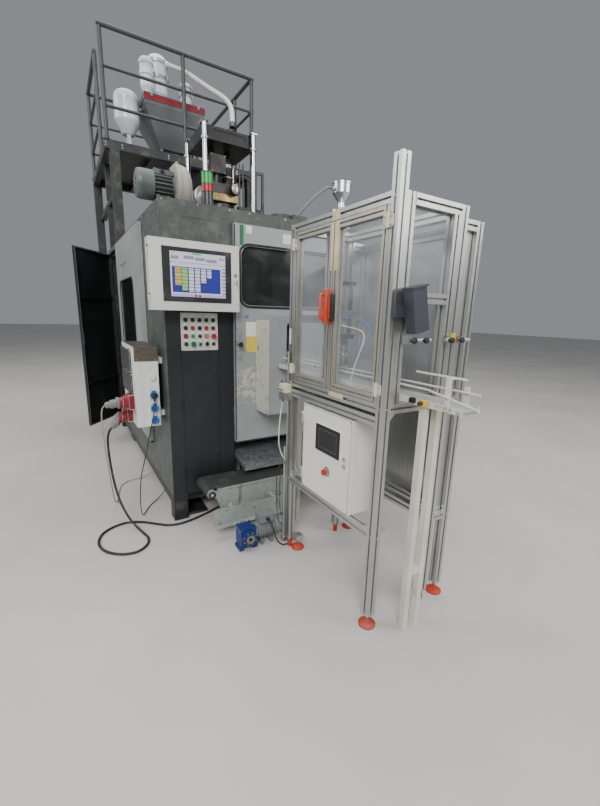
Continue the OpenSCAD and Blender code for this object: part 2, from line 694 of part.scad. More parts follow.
module clamp_frame() color([0.33, 0.36, 0.36]) translate([head_x, 0, 0]) {
  y0 = press_y - 300;
  y1 = head_y + 300;
  for (s = [-1, 1]) {
    box([s*rail_x - 40, y0, bed_z - 160], [s*rail_x + 40, y1, bed_z]);
    box([s*rail_x - rail_w/2, y0 + 10, bed_z + weld], [s*rail_x + rail_w/2, y1 - 10, rail_top]);
    for (y = [press_y - 320, head_y + 180])
      box([s*rail_x - 40, y + weld, plinth_h + weld],
        [s*rail_x + 40, y + beam_h - weld, bed_z - 160 - weld]);
  }
  for (y = [y0 + 20, y1 - 100])
    box([-rail_x + 40 + weld, y, bed_z - 140], [rail_x - 40 - weld, y + 80, bed_z - 20]);
  // Blow station: cylinder hung under the roof beam, with its rod guide
  difference() {
    union() {
      box([-90, press_y - 60, beam_z - 30], [90, press_y + 60, beam_z - weld]);
      rod_z([0, press_y, beam_z - 200], 90, 170);
      rod_z([0, press_y, beam_z - 214], 110, 14);
    }
    translate([0, press_y, beam_z - 215]) cylinder(d = pin_d + 2*run, h = 180);
  }
}

module clamp_carriage() color([0.42, 0.45, 0.44]) translate([head_x, 0, 0]) {
  half_y = 230;
  box([-rail_x - 60, head_y - half_y, car_plate], [rail_x + 60, head_y + half_y, car_top]);
  // Runner blocks that straddle the rails
  for (s = [-1, 1], y = [head_y - half_y + 10, head_y + half_y - 110])
    difference() {
      box([s*rail_x - 35, y, rail_top - 20], [s*rail_x + 35, y + 100, car_plate - weld]);
      box([s*rail_x - rail_w/2 - gap, y - 1, rail_top - 21],
        [s*rail_x + rail_w/2 + gap, y + 101, rail_top + gap]);
    }
  for (s = [-1, 1]) {
    // End plate with the bore of the clamp rod
    difference() {
      box([s > 0 ? end_x : -end_x - end_t, head_y - 215, car_top + weld],
        [s > 0 ? end_x + end_t : -end_x, head_y + 215, car_top + 545]);
      rod_x([s*end_x - 50, head_y, rod_axis_z], tie_d + 2*run, 100);
    }
    // Clamp cylinder outside the end plate, hollow for the rod
    difference() {
      rod_x([s > 0 ? end_x + end_t + weld : -end_x - end_t - weld - 190, head_y, rod_axis_z], 110, 190);
      rod_x([s > 0 ? end_x + end_t - 1 : -end_x - end_t - weld - 181, head_y, rod_axis_z], 60, 182);
    }
  }
  for (y = [-tie_y, tie_y], z = tie_z)
    rod_x([-end_x + weld, head_y + y, z], tie_d, 2*end_x - 2*weld);
}

// Bottle cavity as a turned shape about a vertical axis
module bottle_cavity() {
  r = bottle_d/2;
  base = 60;
  neck_z = base + 250;
  rotate_extrude() polygon([[0, base], [r - 6, base], [r, base + 6], [r, neck_z - 60],
    [neck_d/2, neck_z], [neck_d/2, mould_h + 1], [0, mould_h + 1]]);
}

// One mould half with its platen; s is -1 on the left and 1 on the right
module mould_half(s) translate([head_x, 0, 0]) {
  difference() {
    union() {
      box([s > 0 ? 0.15 : -mould_t, head_y - 130, mould_z],
        [s > 0 ? mould_t : -0.15, head_y + 130, mould_z + mould_h]);
      box([s > 0 ? mould_t : -mould_t - platen_t, head_y - 215, car_top + 60],
        [s > 0 ? mould_t + platen_t : -mould_t, head_y + 215, car_top + 530]);
    }
    translate([0, head_y, mould_z]) bottle_cavity();
    for (y = [-tie_y, tie_y], z = tie_z)
      rod_x([-mould_t - platen_t - 1, head_y + y, z], tie_d + 2*run, 2*(mould_t + platen_t + 1));
  }
  // Clamp rod
  rod_x([s > 0 ? mould_t + platen_t + weld : -mould_t - platen_t - weld - 320, head_y, rod_axis_z],
    tie_d, 320);
}
module mould_left() color([0.7, 0.71, 0.72]) mould_half(-1);
module mould_right() color([0.7, 0.71, 0.72]) mould_half(1);

mould_top = mould_z + mould_h;

module blow_pin() color([0.78, 0.78, 0.79]) {
  tip = mould_top + 30;
  rod_z([head_x, press_y, tip + 40], pin_d, beam_z - 60 - tip - 40);
  translate([head_x, press_y, tip]) cylinder(d1 = pin_d - 10, d2 = pin_d, h = 40);
}

module die_head() color([0.34, 0.32, 0.28]) {
  // Die body with heater bands, down through the roof opening
  translate([head_x, head_y, 0]) rotate_extrude() polygon(concat(
    [[12, die_z], [50, die_z], [70, die_z + 40]],
    [for (i = [0 : 3]) each [[70, die_z + 70 + 90*i], [80, die_z + 70 + 90*i],
      [80, die_z + 130 + 90*i], [70, die_z + 130 + 90*i]]],
    [[70, cab_h + 30], [130, cab_h + 30], [130, cab_h + 110], [122, cab_h + 110], [122, cab_h + 130],
    [130, cab_h + 130], [130, cab_h + 215], [122, cab_h + 215], [122, cab_h + 235], [130, cab_h + 235],
    [130, block_z - weld], [12, block_z - weld]]));
  // Distributor: brass lower block, dark upper block, programming cylinders up to the bridge
  box([head_x - 120, head_y - 150, block_z], [head_x + 120, head_y + 150, block_z + 69]);
  box([head_x - 126, head_y - 152, block_z + 69 + weld], [head_x + 124, head_y + 150, block_top]);
  for (s = [-1, 1]) {
    rod_z([head_x + s*80, head_y + 20, block_top + weld], 110, 200);
    rod_z([head_x + s*80, head_y + 20, block_top + 200 + 2*weld],
      60, bridge_z - block_top - 200 - 2*weld - gap);
  }
  // Valve cylinder with its two tubes, and the small control box on its stem
  rod_y([head_x + 78, head_y - 212 - weld, block_top - 50], 86, 60);
  for (x = [head_x + 104, head_x + 140]) rod_z([x, head_y - 230, cab_h + weld], 14, 670);
  rod_z([head_x - 70, head_y - 100, block_top + weld], 40, 85);
  box([head_x - 138, head_y - 142, block_top + 85 + 2*weld], [head_x + 4, head_y - 70, block_top + 240]);
  // Black post frame beside the head, and the manifold on it
  for (x = [347, 427]) box([head_x + x, head_y - 50, cab_h + weld],
    [head_x + x + 23, head_y - 25, cab_h + 700]);
  box([head_x + 370 + weld, head_y - 50, cab_h + 677], [head_x + 427 - weld, head_y - 25, cab_h + 700]);
  box([head_x + 152, head_y - 90, cab_h + 255], [head_x + 433, head_y - 50 - weld, cab_h + 341]);
}

module extruder() color([0.62, 0.62, 0.6]) {
  y0 = head_y + 150 + gap;
  y1 = hop_y - 110;
  ring = 95;
  // Barrel cover with its heater bands as one turned shape
  translate([ext_x, y0, barrel_z]) rotate([-90, 0, 0]) rotate_extrude() polygon(concat(
    [[0, 0], [60, 0], [60, 60]],
    [for (i = [0 : 7]) each [[barrel_d/2 - 8, 62 + ring*i], [barrel_d/2, 66 + ring*i],
      [barrel_d/2, 146 + ring*i], [barrel_d/2 - 8, 150 + ring*i]]],
    [[barrel_d/2 - 8, y1 - y0], [0, y1 - y0]]));
  // Saddles down to the roof
  for (y = [y0 + 260, y1 - 130])
    difference() {
      box([ext_x - 110, y, cab_h + weld], [ext_x + 110, y + 60, barrel_z - 30]);
      rod_y([ext_x, y - 1, barrel_z], barrel_d + 2*gap, 62);
      box([ext_x - 60, y - 1, cab_h + 60], [ext_x + 60, y + 61, barrel_z - 160]);
    }
  // Feed throat up to the hopper
  difference() {
    union() {
      rod_z([ext_x, hop_y, barrel_z + 40], 150, hop_z - barrel_z - 60);
      rod_z([ext_x, hop_y, hop_z - 20], 190, 20 - gap);
    }
    translate([ext_x, hop_y, barrel_z + 140]) cylinder(d = 120, h = hop_z);
  }
}

module extruder_drive() color([0.3, 0.33, 0.35]) {
  y0 = hop_y - 110 + gap;
  // Gearbox with feet, the throat stands on its front housing
  difference() {
    union() {
      box([ext_x - 190, y0, barrel_z - 260], [ext_x + 190, y0 + 60, barrel_z + 160]);
      box([ext_x - 170, y0 + 60, barrel_z - 240], [ext_x + 170, y0 + 320, barrel_z + 170]);
    }
    rod_z([ext_x, hop_y, barrel_z + 40 - gap], 150 + 2*gap, 200);
  }
  for (x = [ext_x - 190, ext_x + 130])
    box([x, y0, cab_h + weld], [x + 60, y0 + 300, barrel_z - 260 - weld]);
  // Motor with ribs, fan cowl and terminal box
  my = y0 + 320 + weld;
  translate([ext_x, my, barrel_z]) rotate([-90, 0, 0]) rotate_extrude() polygon(concat(
    [[0, 0], [170, 0], [170, 22], [130, 22]],
    [for (i = [0 : 8]) each [[130, 40 + 28*i], [146, 40 + 28*i], [146, 52 + 28*i], [130, 52 + 28*i]]],
    [[130, 300], [148, 300], [148, 380], [130, 396], [0, 396]]));
  box([ext_x - 70, my + 90, barrel_z + 146 + gap], [ext_x + 70, my + 230, barrel_z + 220]);
}

lift_at = [for (sx = [-1, 1], sy = [-1, 1]) [head_x + sx*230, head_y + sy*(bridge_d/2 + lift_d/2 + 4)]];
module lift_columns() color([0.82, 0.83, 0.84])
  for (p = lift_at) {
    rod_z([p[0], p[1], cab_h + weld], lift_d, bridge_z + bridge_h - cab_h - weld);
    // Cap that ties the column's top to the bridge
    y = sign(p[1] - head_y);
    box([p[0] - 28, min(p[1] + y*28, p[1] - y*70), bridge_z + bridge_h + gap],
      [p[0] + 28, max(p[1] + y*28, p[1] - y*70), bridge_z + bridge_h + 10]);
  }

module head_bridge() color([0.045, 0.045, 0.05]) {
  top = bridge_z + bridge_h;
  // Bridge plate with a milled waist
  difference() {
    box([head_x + 7 - bridge_w/2, head_y - bridge_d/2, bridge_z],
      [head_x + 7 + bridge_w/2, head_y + bridge_d/2, top]);
    for (s = [-1, 1]) box([head_x - 150, head_y + s*bridge_d/2 - 6, bridge_z + 30],
      [head_x + 164, head_y + s*bridge_d/2 + 6, top - 24]);
  }
  // Hose flange and its slanted gland
  rod_z([20, -36, top + weld], 92, 16);
  rod_to(hose_end, hose_end + 84*unit(hose_way), 56);
}

plat_x0 = xl - 40;
plat_x1 = plat_x0 + deck_w;
deck_y1 = deck_y0 + deck_d;
throat_x = [ext_x - 110, ext_x + 110];
throat_y = [hop_y - 110, hop_y + 110];
slim_y = deck_y0 + 521;
ladder_x = [plat_x1 - 540, plat_x1 - 280];

module service_platform() color([0.16, 0.165, 0.17]) {
  z0 = deck_z - deck_t;
  plate = 6;
  // Edge channels and joists
  for (y = [deck_y0, deck_y1 - 60])
    box([plat_x0, y, z0], [plat_x1, y + 60, deck_z - plate - weld]);
  for (x = [plat_x0, plat_x0 + 440, throat_x[1] + 40, plat_x1 - 60])
    box([x, deck_y0 + 60 + weld, z0], [x + 60, deck_y1 - 60 - weld, deck_z - plate - weld]);
  // Deck plates round the throat
  box([plat_x0, deck_y0, deck_z - plate], [throat_x[0], deck_y1, deck_z]);
  box([throat_x[1], deck_y0, deck_z - plate], [plat_x1, deck_y1, deck_z]);
  for (s = [[deck_y0, throat_y[0]], [throat_y[1], deck_y1]])
    box([throat_x[0] + weld, s[0], deck_z - plate], [throat_x[1] - weld, s[1], deck_z]);
  // Legs: near pair and a slim one on the roof, far pair to the floor with base plates
  for (x = [plat_x0 + 40, plat_x1 - leg_w]) {
    box([x, deck_y0, cab_h + 8 + weld], [x + leg_w, deck_y0 + leg_w, z0 - weld]);
    box([x, deck_y0 - 10, cab_h + weld], [x + leg_w + 20, deck_y0 + leg_w + 10, cab_h + 8]);
    box([x + 15, deck_y0 + leg_w + weld, z0 - 420], [x + leg_w - 15, deck_y1 - leg_w - weld, z0 - 360]);
  }
  for (x = [plat_x0, plat_x1 - leg_w]) {
    box([x, deck_y1 - leg_w, 12 + weld], [x + leg_w, deck_y1, z0 - weld]);
    box([x - 30, deck_y1 - leg_w - 30, 0], [x + leg_w + 30, deck_y1 + 30, 12]);
  }
  for (z = [[cab_h + weld, z0 - 420 - weld], [z0 - 360 + weld, z0 - weld]])
    box([plat_x0 + 40, slim_y - 25, z[0]], [plat_x0 + 90, slim_y + 25, z[1]]);
  // Ladder at the far edge
  for (x = ladder_x) {
    box([x, deck_y1 + 22, 0], [x + 20, deck_y1 + 62, deck_z + rail_h]);
    box([x, deck_y1 + weld, deck_z - 50], [x + 20, deck_y1 + 22 - weld, deck_z - 20]);
  }
  for (i = [0 : 9])
    rod_x([ladder_x[0] + 20 + weld, deck_y1 + 42, 280 + 290*i],
      26, ladder_x[1] - ladder_x[0] - 20 - 2*weld);
}

module handrail() color([0.3, 0.31, 0.31]) {
  r = rail_d/2;
  rows = [0.31, 0.655];
  x = [plat_x0 + 25, (plat_x0 + plat_x1)/2, plat_x1 - 25];
  y = [deck_y0 + 25, slim_y, deck_y1 - 25];
  lx = [ladder_x[0] - 35, ladder_x[1] + 55];
  post = rail_h - r - 2*weld;
  for (p = [[x[0], y[0]], [x[1], y[0]], [x[2], y[0]], [x[0], y[1]], [x[2], y[1]], [x[0], y[2]],
    [x[2], y[2]],
    [lx[0], y[2]], [lx[1], y[2]]]) rod_z([p[0], p[1], deck_z + weld], rail_d, post);
  // Top rail: the far edge is open at the ladder, the left edge near the first post
  for (s = [[x[0], x[2], y[0]], [x[0], lx[0], y[2]], [lx[1], x[2], y[2]]])
    rod_x([s[0] - r, s[2], deck_z + rail_h], rail_d, s[1] - s[0] + rail_d);
  rod_y([x[0], y[1] - r, deck_z + rail_h], rail_d, y[2] - y[1] - weld);
  rod_y([x[2], y[0] + r + weld, deck_z + rail_h], rail_d, y[2] - y[0] - rail_d - 2*weld);
  for (k = rows) {
    z = deck_z + rail_h*k;
    for (s = [[x[0], x[1], y[0]], [x[1], x[2], y[0]], [x[0], lx[0], y[2]], [lx[1], x[2], y[2]]])
      rod_x([s[0] + r + weld, s[2], z], rail_d*0.7, s[1] - s[0] - rail_d - 2*weld);
    for (s = [[x[0], y[1], y[2]], [x[2], y[0], y[1]], [x[2], y[1], y[2]]])
      rod_y([s[0], s[1] + r + weld, z], rail_d*0.7, s[2] - s[1] - rail_d - 2*weld);
  }
}

module dosing_hopper() color([0.42, 0.44, 0.45]) {
  top_z = hop_z + hop_h;
  wall = 4;
  y0 = hop_y - 150;
  // Tapered hopper as one shell: four sloping sides
  difference() {
    hull() {
      box([hop_x - hop_neck/2, y0, hop_z], [hop_x + hop_neck/2, y0 + 300, hop_z + 1]);
      box([hop_x - hop_w/2, hop_y - 290, top_z - 90], [hop_x + hop_w/2, hop_y + 310, top_z - 60]);
    }
    hull() {
      box([hop_x - hop_neck/2 + wall, y0 + wall, hop_z + 6],
        [hop_x + hop_neck/2 - wall, y0 + 300 - wall, hop_z + 7]);
      box([hop_x - hop_w/2 + wall, hop_y - 290 + wall, top_z - 90],
        [hop_x + hop_w/2 - wall, hop_y + 310 - wall, top_z]);
    }
    translate([ext_x, hop_y, hop_z - 1]) cylinder(d = 120, h = 20);
  }
  // Upright band round the top, and the lid that carries the loaders
  difference() {
    box([hop_x - hop_w/2 - 6, hop_y - 296, top_z - 60 + weld], [hop_x + hop_w/2 + 6, hop_y + 316, top_z]);
    box([hop_x - hop_w/2, hop_y - 290, top_z - 61], [hop_x + hop_w/2, hop_y + 310, top_z + 1]);
  }
  box([hop_x - hop_w/2 - 6, hop_y - 296, top_z + weld], [hop_x + hop_w/2 + 6, hop_y + 316, top_z + 6]);
  // Stand on the deck
  for (x = [hop_x - hop_neck/2 + 2, hop_x + hop_neck/2 - 34], y = [y0 + 2, y0 + 266])
    box([x, y, deck_z + weld], [x + 32, y + 32, hop_z - weld]);
}

// Turned loader body: a cone, a straight drum, a clamp ring, a domed lid
module loader(p, d, h) {
  r = d/2;
  translate(p) rotate_extrude() polygon([
    [0, 0], [r*0.6, 0], [r*0.6, h*0.08], [r*0.88, h*0.2], [r*0.88, h*0.5],
    [r, h*0.5], [r, h*0.56], [r*0.88, h*0.58], [r*0.88, h*0.8], [r, h*0.8], [r, h*0.86],
    [r*0.94, h*0.9], [r*0.8, h*0.95], [r*0.5, h], [0, h]]);
}

lid_z = hop_z + hop_h + 6 + gap;

module vacuum_loaders() color([0.86, 0.87, 0.88]) {
  loader([hop_x - 125, hop_y - 60, lid_z], 225, 470);
  rod_to([hop_x - 125, hop_y - 60, lid_z + 430], hose_start, 56);
  loader([hop_x + 170, hop_y - 90, lid_z], 145, 280);
  loader([hop_x + 255, hop_y + 60, lid_z], 100, 120);
  // Side bin with a rounded shoulder, carried by a bracket on the hopper
  bin_x = hop_x - hop_w/2 - 6 - 140;
  translate([bin_x, hop_y - 60, deck_z + 230]) rotate_extrude() polygon([[0, 0], [60, 0], [122, 110],
    [130, 128], [130, 340], [120, 380], [104, 400], [80, 414], [0, 414]]);
  loader([hop_x - 275, hop_y - 220, lid_z], 150, 340);
  box([bin_x + 127, hop_y - 100, hop_z + hop_h - 110],
    [hop_x - hop_w/2 - 6 - gap, hop_y - 20, hop_z + hop_h - 90]);
  for (a = [-1, 1]) box([bin_x - 20, hop_y - 60 + a*40 - 10, deck_z + weld],
    [bin_x + 20, hop_y - 60 + a*40 + 10, deck_z + 230 - weld]);
}

// Material hose from the tall loader's side to the head bridge
hose_start = [-200, 1200, cab_h + 1934];
hose_end = [45, -5, cab_h + 1010];
hose_way = [-39, -100, -118];
// Routes of both hoses are measured up from the roof
hose_points = [[-199.6, 1199.7, 1933.8], [-168, 1172.6, 1918.1], [-132.5, 1142.2, 1900.4],
  [-90, 1090, 1870], [-31, 980, 1795], [30, 840, 1690], [86, 690, 1582], [122, 540, 1484], [138, 400, 1390],
  [130, 270, 1290], [106, 160, 1195], [69.65, 58.2, 1084.6], [55, 20.6, 1040.2], [45.2, -4.5, 1010.6]];
hose_d = 46;

module material_hose() color([0.8, 0.8, 0.78]) translate([0, 0, cab_h])
  tube_on(smooth(hose_points, 3), hose_d, 12);

blow_at = [-700, -715, cab_h + 170];
module blower_housing() color([0.5, 0.49, 0.45]) {
  r = 160;
  // Drum with a rounded shoulder on the free side, on its straight-sided foot
  translate(blow_at) rotate([0, 90, 0]) rotate_extrude() polygon(concat([[0, 0], [r - 6, 0], [r, 6]],
    [for (a = [0 : 15 : 90]) [r - 64 + 64*cos(a), 46 + 64*sin(a)]], [[0, 110]]));
  difference() {
    box(blow_at + [8, -105, -170 + weld], blow_at + [84, 105, -60]);
    rod_x(blow_at, 2*r + 2*weld, 200);
  }
}

module blower_motor() color([0.25, 0.28, 0.27]) {
  x1 = blow_at[0] - gap;
  y = blow_at[1];
  z = blow_at[2];
  // Finned body with flange, terminal box and fan cowl
  difference() {
    union() {
      rod_x([x1 - 16, y, z], 150, 16);
      rod_x([x1 - 140, y, z], 130, 140);
      for (k = [0 : 19]) translate([x1 - 138, y, z]) rotate([18*k, 0, 0]) translate([0, -2, 60])
        cube([120, 4, 28]);
    }
    box([x1 - 142, y - 48, z + 72], [x1 - 2, y + 48, z + 120]);
  }
  translate([x1 - 140 - weld, y, z]) rotate([0, -90, 0]) rotate_extrude()
    polygon([[0, 0], [97, 0], [97, 84], [90, 106], [60, 115], [0, 115]]);
  box([x1 - 138, y - 46, z + 72 + gap], [x1 - 6, y + 46, z + 101]);
  for (x = [x1 - 130, x1 - 60]) difference() {
    box([x, y - 60, cab_h + weld], [x + 24, y + 60, z - 50]);
    rod_x([x - 1, y, z], 176 + 2*gap, 26);
  }
}

module signal_tower() color([0.25, 0.26, 0.27])
  translate([-572, yf + 62, cab_h + weld]) rotate_extrude() polygon([
    [0, 0], [39, 0], [39, 12], [36, 14], [36, 84], [39, 86], [39, 92], [37, 94], [37, 130],
    [39, 132], [39, 136], [37, 138], [37, 198], [39, 200], [39, 206], [32, 209], [0, 209]]);

funnel_at = [675, -888];
module receiver_funnel() color([0.8, 0.81, 0.83]) {
  translate([funnel_at[0], funnel_at[1], cab_h + weld]) rotate_extrude() polygon([
    [0, 0], [110, 0], [110, 150], [96, 174], [96, 196], [62, 210], [34, 222], [30, 260],
    [82, 330], [84, 400], [90, 402], [90, 412], [78, 412], [72, 332], [22, 266], [0, 266]]);
  // Side port for the hose
  rod_x([funnel_at[0] - 104, funnel_at[1], cab_h + 360], 34, 22);
}
receiver_points = [[570.2, -888, 360], [550, -888, 360], [520, -888, 353], [470, -888, 320],
  [410, -888, 272], [350, -888, 216], [290, -888, 154], [240, -888, 96], [206, -888, 55],
  [200, -888, 30], [200, -888, 12.8]];
module receiver_hose() color([0.42, 0.43, 0.43]) translate([0, 0, cab_h])
  tube_on(smooth(receiver_points, 3), 22, 12);

module flash_chute() color([0.6, 0.62, 0.63]) {
  // Sloping open tray: floor and two side walls, from a folded sheet
  x0 = col_x + 6;
  x1 = 100;
  t = 3;
  drop = 18.3;
  translate([0, yf + 230, 500]) rotate([drop, 0, 0]) {
    box([x0, -430, 0], [x1, 0, t]);
    for (x = [x0, x1 - t]) box([x, -430, t + weld], [x + t, 0, 42]);
  }
  // Brackets that stand on the plinth beam, cut to the tray's slope
  y = [yf + plinth_in + 20, yf + plinth_in + 50];
  z = [for (v = y) 500 - (yf + 230 - v)*tan(drop) - gap];
  for (x = [x0 + 40, x1 - 70]) translate([x, 0, 0]) rotate([90, 0, 90]) linear_extrude(30)
    polygon([[y[0], plinth_h + weld], [y[1], plinth_h + weld], [y[1], z[1]], [y[0], z[0]]]);
}

scrap_x0 = -750;
scrap_y0 = yf - 40 - scrap_w;
scrap_y1 = yf - 40;

module scrap_conveyor() color([0.5, 0.54, 0.51]) {
  r = roller_d/2;
  x1 = scrap_x0 + scrap_len;
  axis_z = scrap_z - 4 - r;
  // Side plates, end rollers and their shafts
  for (y = [scrap_y0 + 3, scrap_y1]) translate([0, y, 0]) rotate([90, 0, 0]) linear_extrude(3)
    difference() {
      polygon([[scrap_x0 + 20, axis_z - 12], [scrap_x0 + 120, 230], [x1 - 60, 230], [x1 - 20, axis_z - 20],
        [x1 - 20, scrap_z - 14], [scrap_x0 + 20, scrap_z - 14]]);
      for (x = [scrap_x0 + 40, x1 - 40]) translate([x, axis_z]) circle(d = 20 + 2*run);
    }
  for (x = [scrap_x0 + 40, x1 - 40]) {
    rod_y([x, scrap_y0 + 6, axis_z], roller_d, scrap_w - 12);
    rod_y([x, scrap_y0 - 10, axis_z], 20, scrap_w + 20);
  }
  // Trapezium cover over the near plate, and the top lip beside it
  translate([0, scrap_y0 - weld, 0]) rotate([90, 0, 0]) linear_extrude(3)
    polygon([[scrap_x0 + 62, 285], [scrap_x0 + 102, 166], [-185, 182], [-146, 292], [scrap_x0 + 140, 306]]);
  box([scrap_x0 + 141, scrap_y0 - 8, scrap_z - 14 + weld], [x1 - 20, scrap_y0 + 3, scrap_z - 5]);
  // Slider bed, legs
  box([scrap_x0 + 40 + r + 8, scrap_y0 + 3 + weld, axis_z + r - 10],
    [x1 - 40 - r - 8, scrap_y1 - 3 - weld, axis_z + r - 4]);
  for (x = [scrap_x0 + 290, x1 - 200], y = [scrap_y0 + 3 + weld, scrap_y1 - 43 - weld])
    box([x, y, 0], [x + 40, y + 40, 240]);
  // Bearing plate of the drive shaft
  difference() {
    box([gear_cx - 32, scrap_y0 + 3 + weld, 50], [gear_cx + 32, scrap_y0 + 15, 246]);
    rod_y([gear_cx, scrap_y0, gear_cz], 20 + 2*run, 20);
  }
  // Lower angle plate with its foot flange, upright bar and two arms
  ax = [-731, -206];
  ay = scrap_y0 - 80;
  z0 = gear_cz + 12;
  difference() {
    box([ax[0], ay, z0], [ax[1], ay + 4, 215]);
    for (x = [ax[0] + 60, ax[0] + 300, ax[1] - 60]) rod_y([x, ay - 1, 165], 12, 6);
  }
  box([ax[0], ay - 45, z0], [ax[1], ay - weld, z0 + 4]);
  box([ax[1] - 4, ay + 4 + weld, z0], [ax[1] + 14, ay + 24, 298]);
  for (x = [ax[0] + 120, ax[1] - 80]) box([x, ay + 4 + weld, 195], [x + 30, scrap_y0 - 3 - 2*weld, 212]);
}

module scrap_belt() color([0.05, 0.05, 0.055]) {
  r = roller_d/2 + gap;
  t = 3;
  x0 = scrap_x0 + 40;
  x1 = scrap_x0 + scrap_len - 40;
  z = scrap_z - 4 - roller_d/2;
  translate([0, scrap_y1 - 12, 0]) rotate([90, 0, 0]) linear_extrude(scrap_w - 24) difference() {
    union() {
      translate([x0, z - r - t]) square([x1 - x0, 2*(r + t)]);
      for (x = [x0, x1]) translate([x, z]) circle(r + t);
    }
    translate([x0, z - r]) square([x1 - x0, 2*r]);
    for (x = [x0, x1]) translate([x, z]) circle(r);
  }
}

gear_w = 106;
gear_cx = -569;
gear_x = gear_cx - gear_w/2;
gear_y = -1750;
gear_z = 23;
gear_cz = gear_z + gear_s/2;

module drive_gearbox() color([0.1, 0.16, 0.42]) {
  at = [gear_cx, gear_y, gear_cz];
  // Housing with a cast front boss, cooling ribs on top, screws and the hollow shaft's mouth
  difference() {
    union() {
      box([gear_x, gear_y + 20, gear_z], [gear_x + gear_w, gear_y + 110, gear_z + gear_s]);
      rod_y(at, 100, 22);
      for (k = [0 : 3]) box([gear_x + 8 + 26*k, gear_y + 20, gear_z + gear_s - 1],
        [gear_x + 14 + 26*k, gear_y + 110, gear_z + gear_s + 7]);
    }
    rod_y(at - [0, 1, 0], 36, 40);
    for (k = [0 : 7]) translate(at - [0, 1, 0]) rotate([0, 45*k + 22.5, 0]) rod_y([43, 0, 0], 7, 14);
  }
  // Eight-cornered star flange
  difference() {
    for (a = [0, 45]) translate(at - [0, weld, 0]) rotate([90, a, 0]) translate([-33, -33, 0])
      cube([66, 66, 8]);
    rod_y(at - [0, 20, 0], 36, 40);
  }
  for (x = [gear_x - 10, gear_x + gear_w - 20])
    box([x, gear_y + 24, 0], [x + 30, gear_y + 106, gear_z - weld]);
  // Drive shaft to the conveyor's bearing plate
  rod_y(at + [0, 110 + weld, 0], 20, scrap_y0 + 18 - gear_y - 110);
}

module drive_motor() color([0.38, 0.41, 0.42]) {
  x0 = gear_x + gear_w + weld;
  y = gear_y + 72;
  z = 95;
  r = motor_d/2;
  // Flange, finned stator, end shield, cowl
  translate([x0, y, z]) rotate([0, 90, 0]) rotate_extrude() polygon(concat(
    [[0, 0], [r*0.9, 0], [r*0.9, 10], [r*0.62, 16]],
    [for (i = [0 : 7]) each [[r*0.8, 26 + 14*i], [r*0.93, 28 + 14*i], [r*0.93, 33 + 14*i],
      [r*0.8, 35 + 14*i]]],
    [[r*0.8, 142], [r, 144], [r, 208], [r*0.9, 218], [0, 218]]));
  box([x0 + 34, y - 40, z + r*0.93 + gap], [x0 + 136, y + 40, 205]);
  for (x = [x0 + 40, x0 + 110]) box([x, y - 46, 0], [x + 14, y + 46, z - r*0.93 - weld]);
}

sock_x1 = xl - 35;
sock_x0 = sock_x1 - 155;
sock_y0 = -1040;
sock_y1 = -520;
sock_z0 = 710;
sock_z1 = 1263;

module socket_box() color([0.84, 0.84, 0.82]) {
  // Body with the seams of its front face
  difference() {
    box([sock_x0, sock_y0, sock_z0], [sock_x1, sock_y1, sock_z1 - 8]);
    box([sock_x0 + 44, sock_y0 - 1, sock_z0 - 1], [sock_x0 + 48, sock_y0 + 3, sock_z1 - 95]);
    box([sock_x0 - 1, sock_y0 - 1, sock_z0 + 273], [sock_x0 + 44, sock_y0 + 3, sock_z0 + 277]);
  }
  // Folded top cover, socket frames, round cap
  box([sock_x0 + 4, sock_y0 - 6, sock_z1 - 94], [sock_x1, sock_y0 - weld, sock_z1]);
  box([sock_x0, sock_y0, sock_z1 - 8 + weld], [sock_x1, sock_y1, sock_z1]);
  for (z = [sock_z0 + 42, sock_z0 + 129, sock_z0 + 221])
    difference() {
      box([sock_x1 - 68, sock_y0 - 12, z - 28], [sock_x1 - 12, sock_y0 - weld, z + 28]);
      rod_y([sock_x1 - 40, sock_y0 - 13, z], 40, 9);
    }
  rod_y([sock_x1 - 44, sock_y0 - 6, sock_z0 + 344], 40, 6 - weld);
  // Two hinged lids and the slanted socket housings on the left face
  for (z = [sock_z0 + 214, sock_z0 + 376])
    box([sock_x0 - 14, sock_y0 + 60, z], [sock_x0 - weld, sock_y1 - 50, z + 150]);
  for (p = plugs) box([sock_x0 - 40, p[0] - 55, p[1] - 50], [sock_x0 - weld, p[0] + 55, p[1] + 50]);
  // Brackets to the cabinet side
  for (z = [sock_z0 + 60, sock_z1 - 120])
    box([sock_x1 + weld, sock_y0 + 40, z], [xl - weld, side_y0 - 30, z + 40]);
}

// Each plug: place along Y, height, and how far it points down
plugs = [[-960, 885, 8], [-840, 770, 50]];
module power_plugs() color([0.62, 0.1, 0.1])
  for (p = plugs) translate([sock_x0 - 40 - weld, p[0], p[1]]) {
    rod_x([-26, 0, 0], 92, 26);
    translate([-26, 0, 0]) rotate([0, -90 - p[2], 0]) rotate_extrude() polygon([
      [0, 0], [30, 0], [36, 6], [36, 30],
      [41, 32], [41, 44], [30, 48], [30, 84], [22, 92], [22, 112], [12, 122], [0, 122]]);
  }

cord_d = 16;
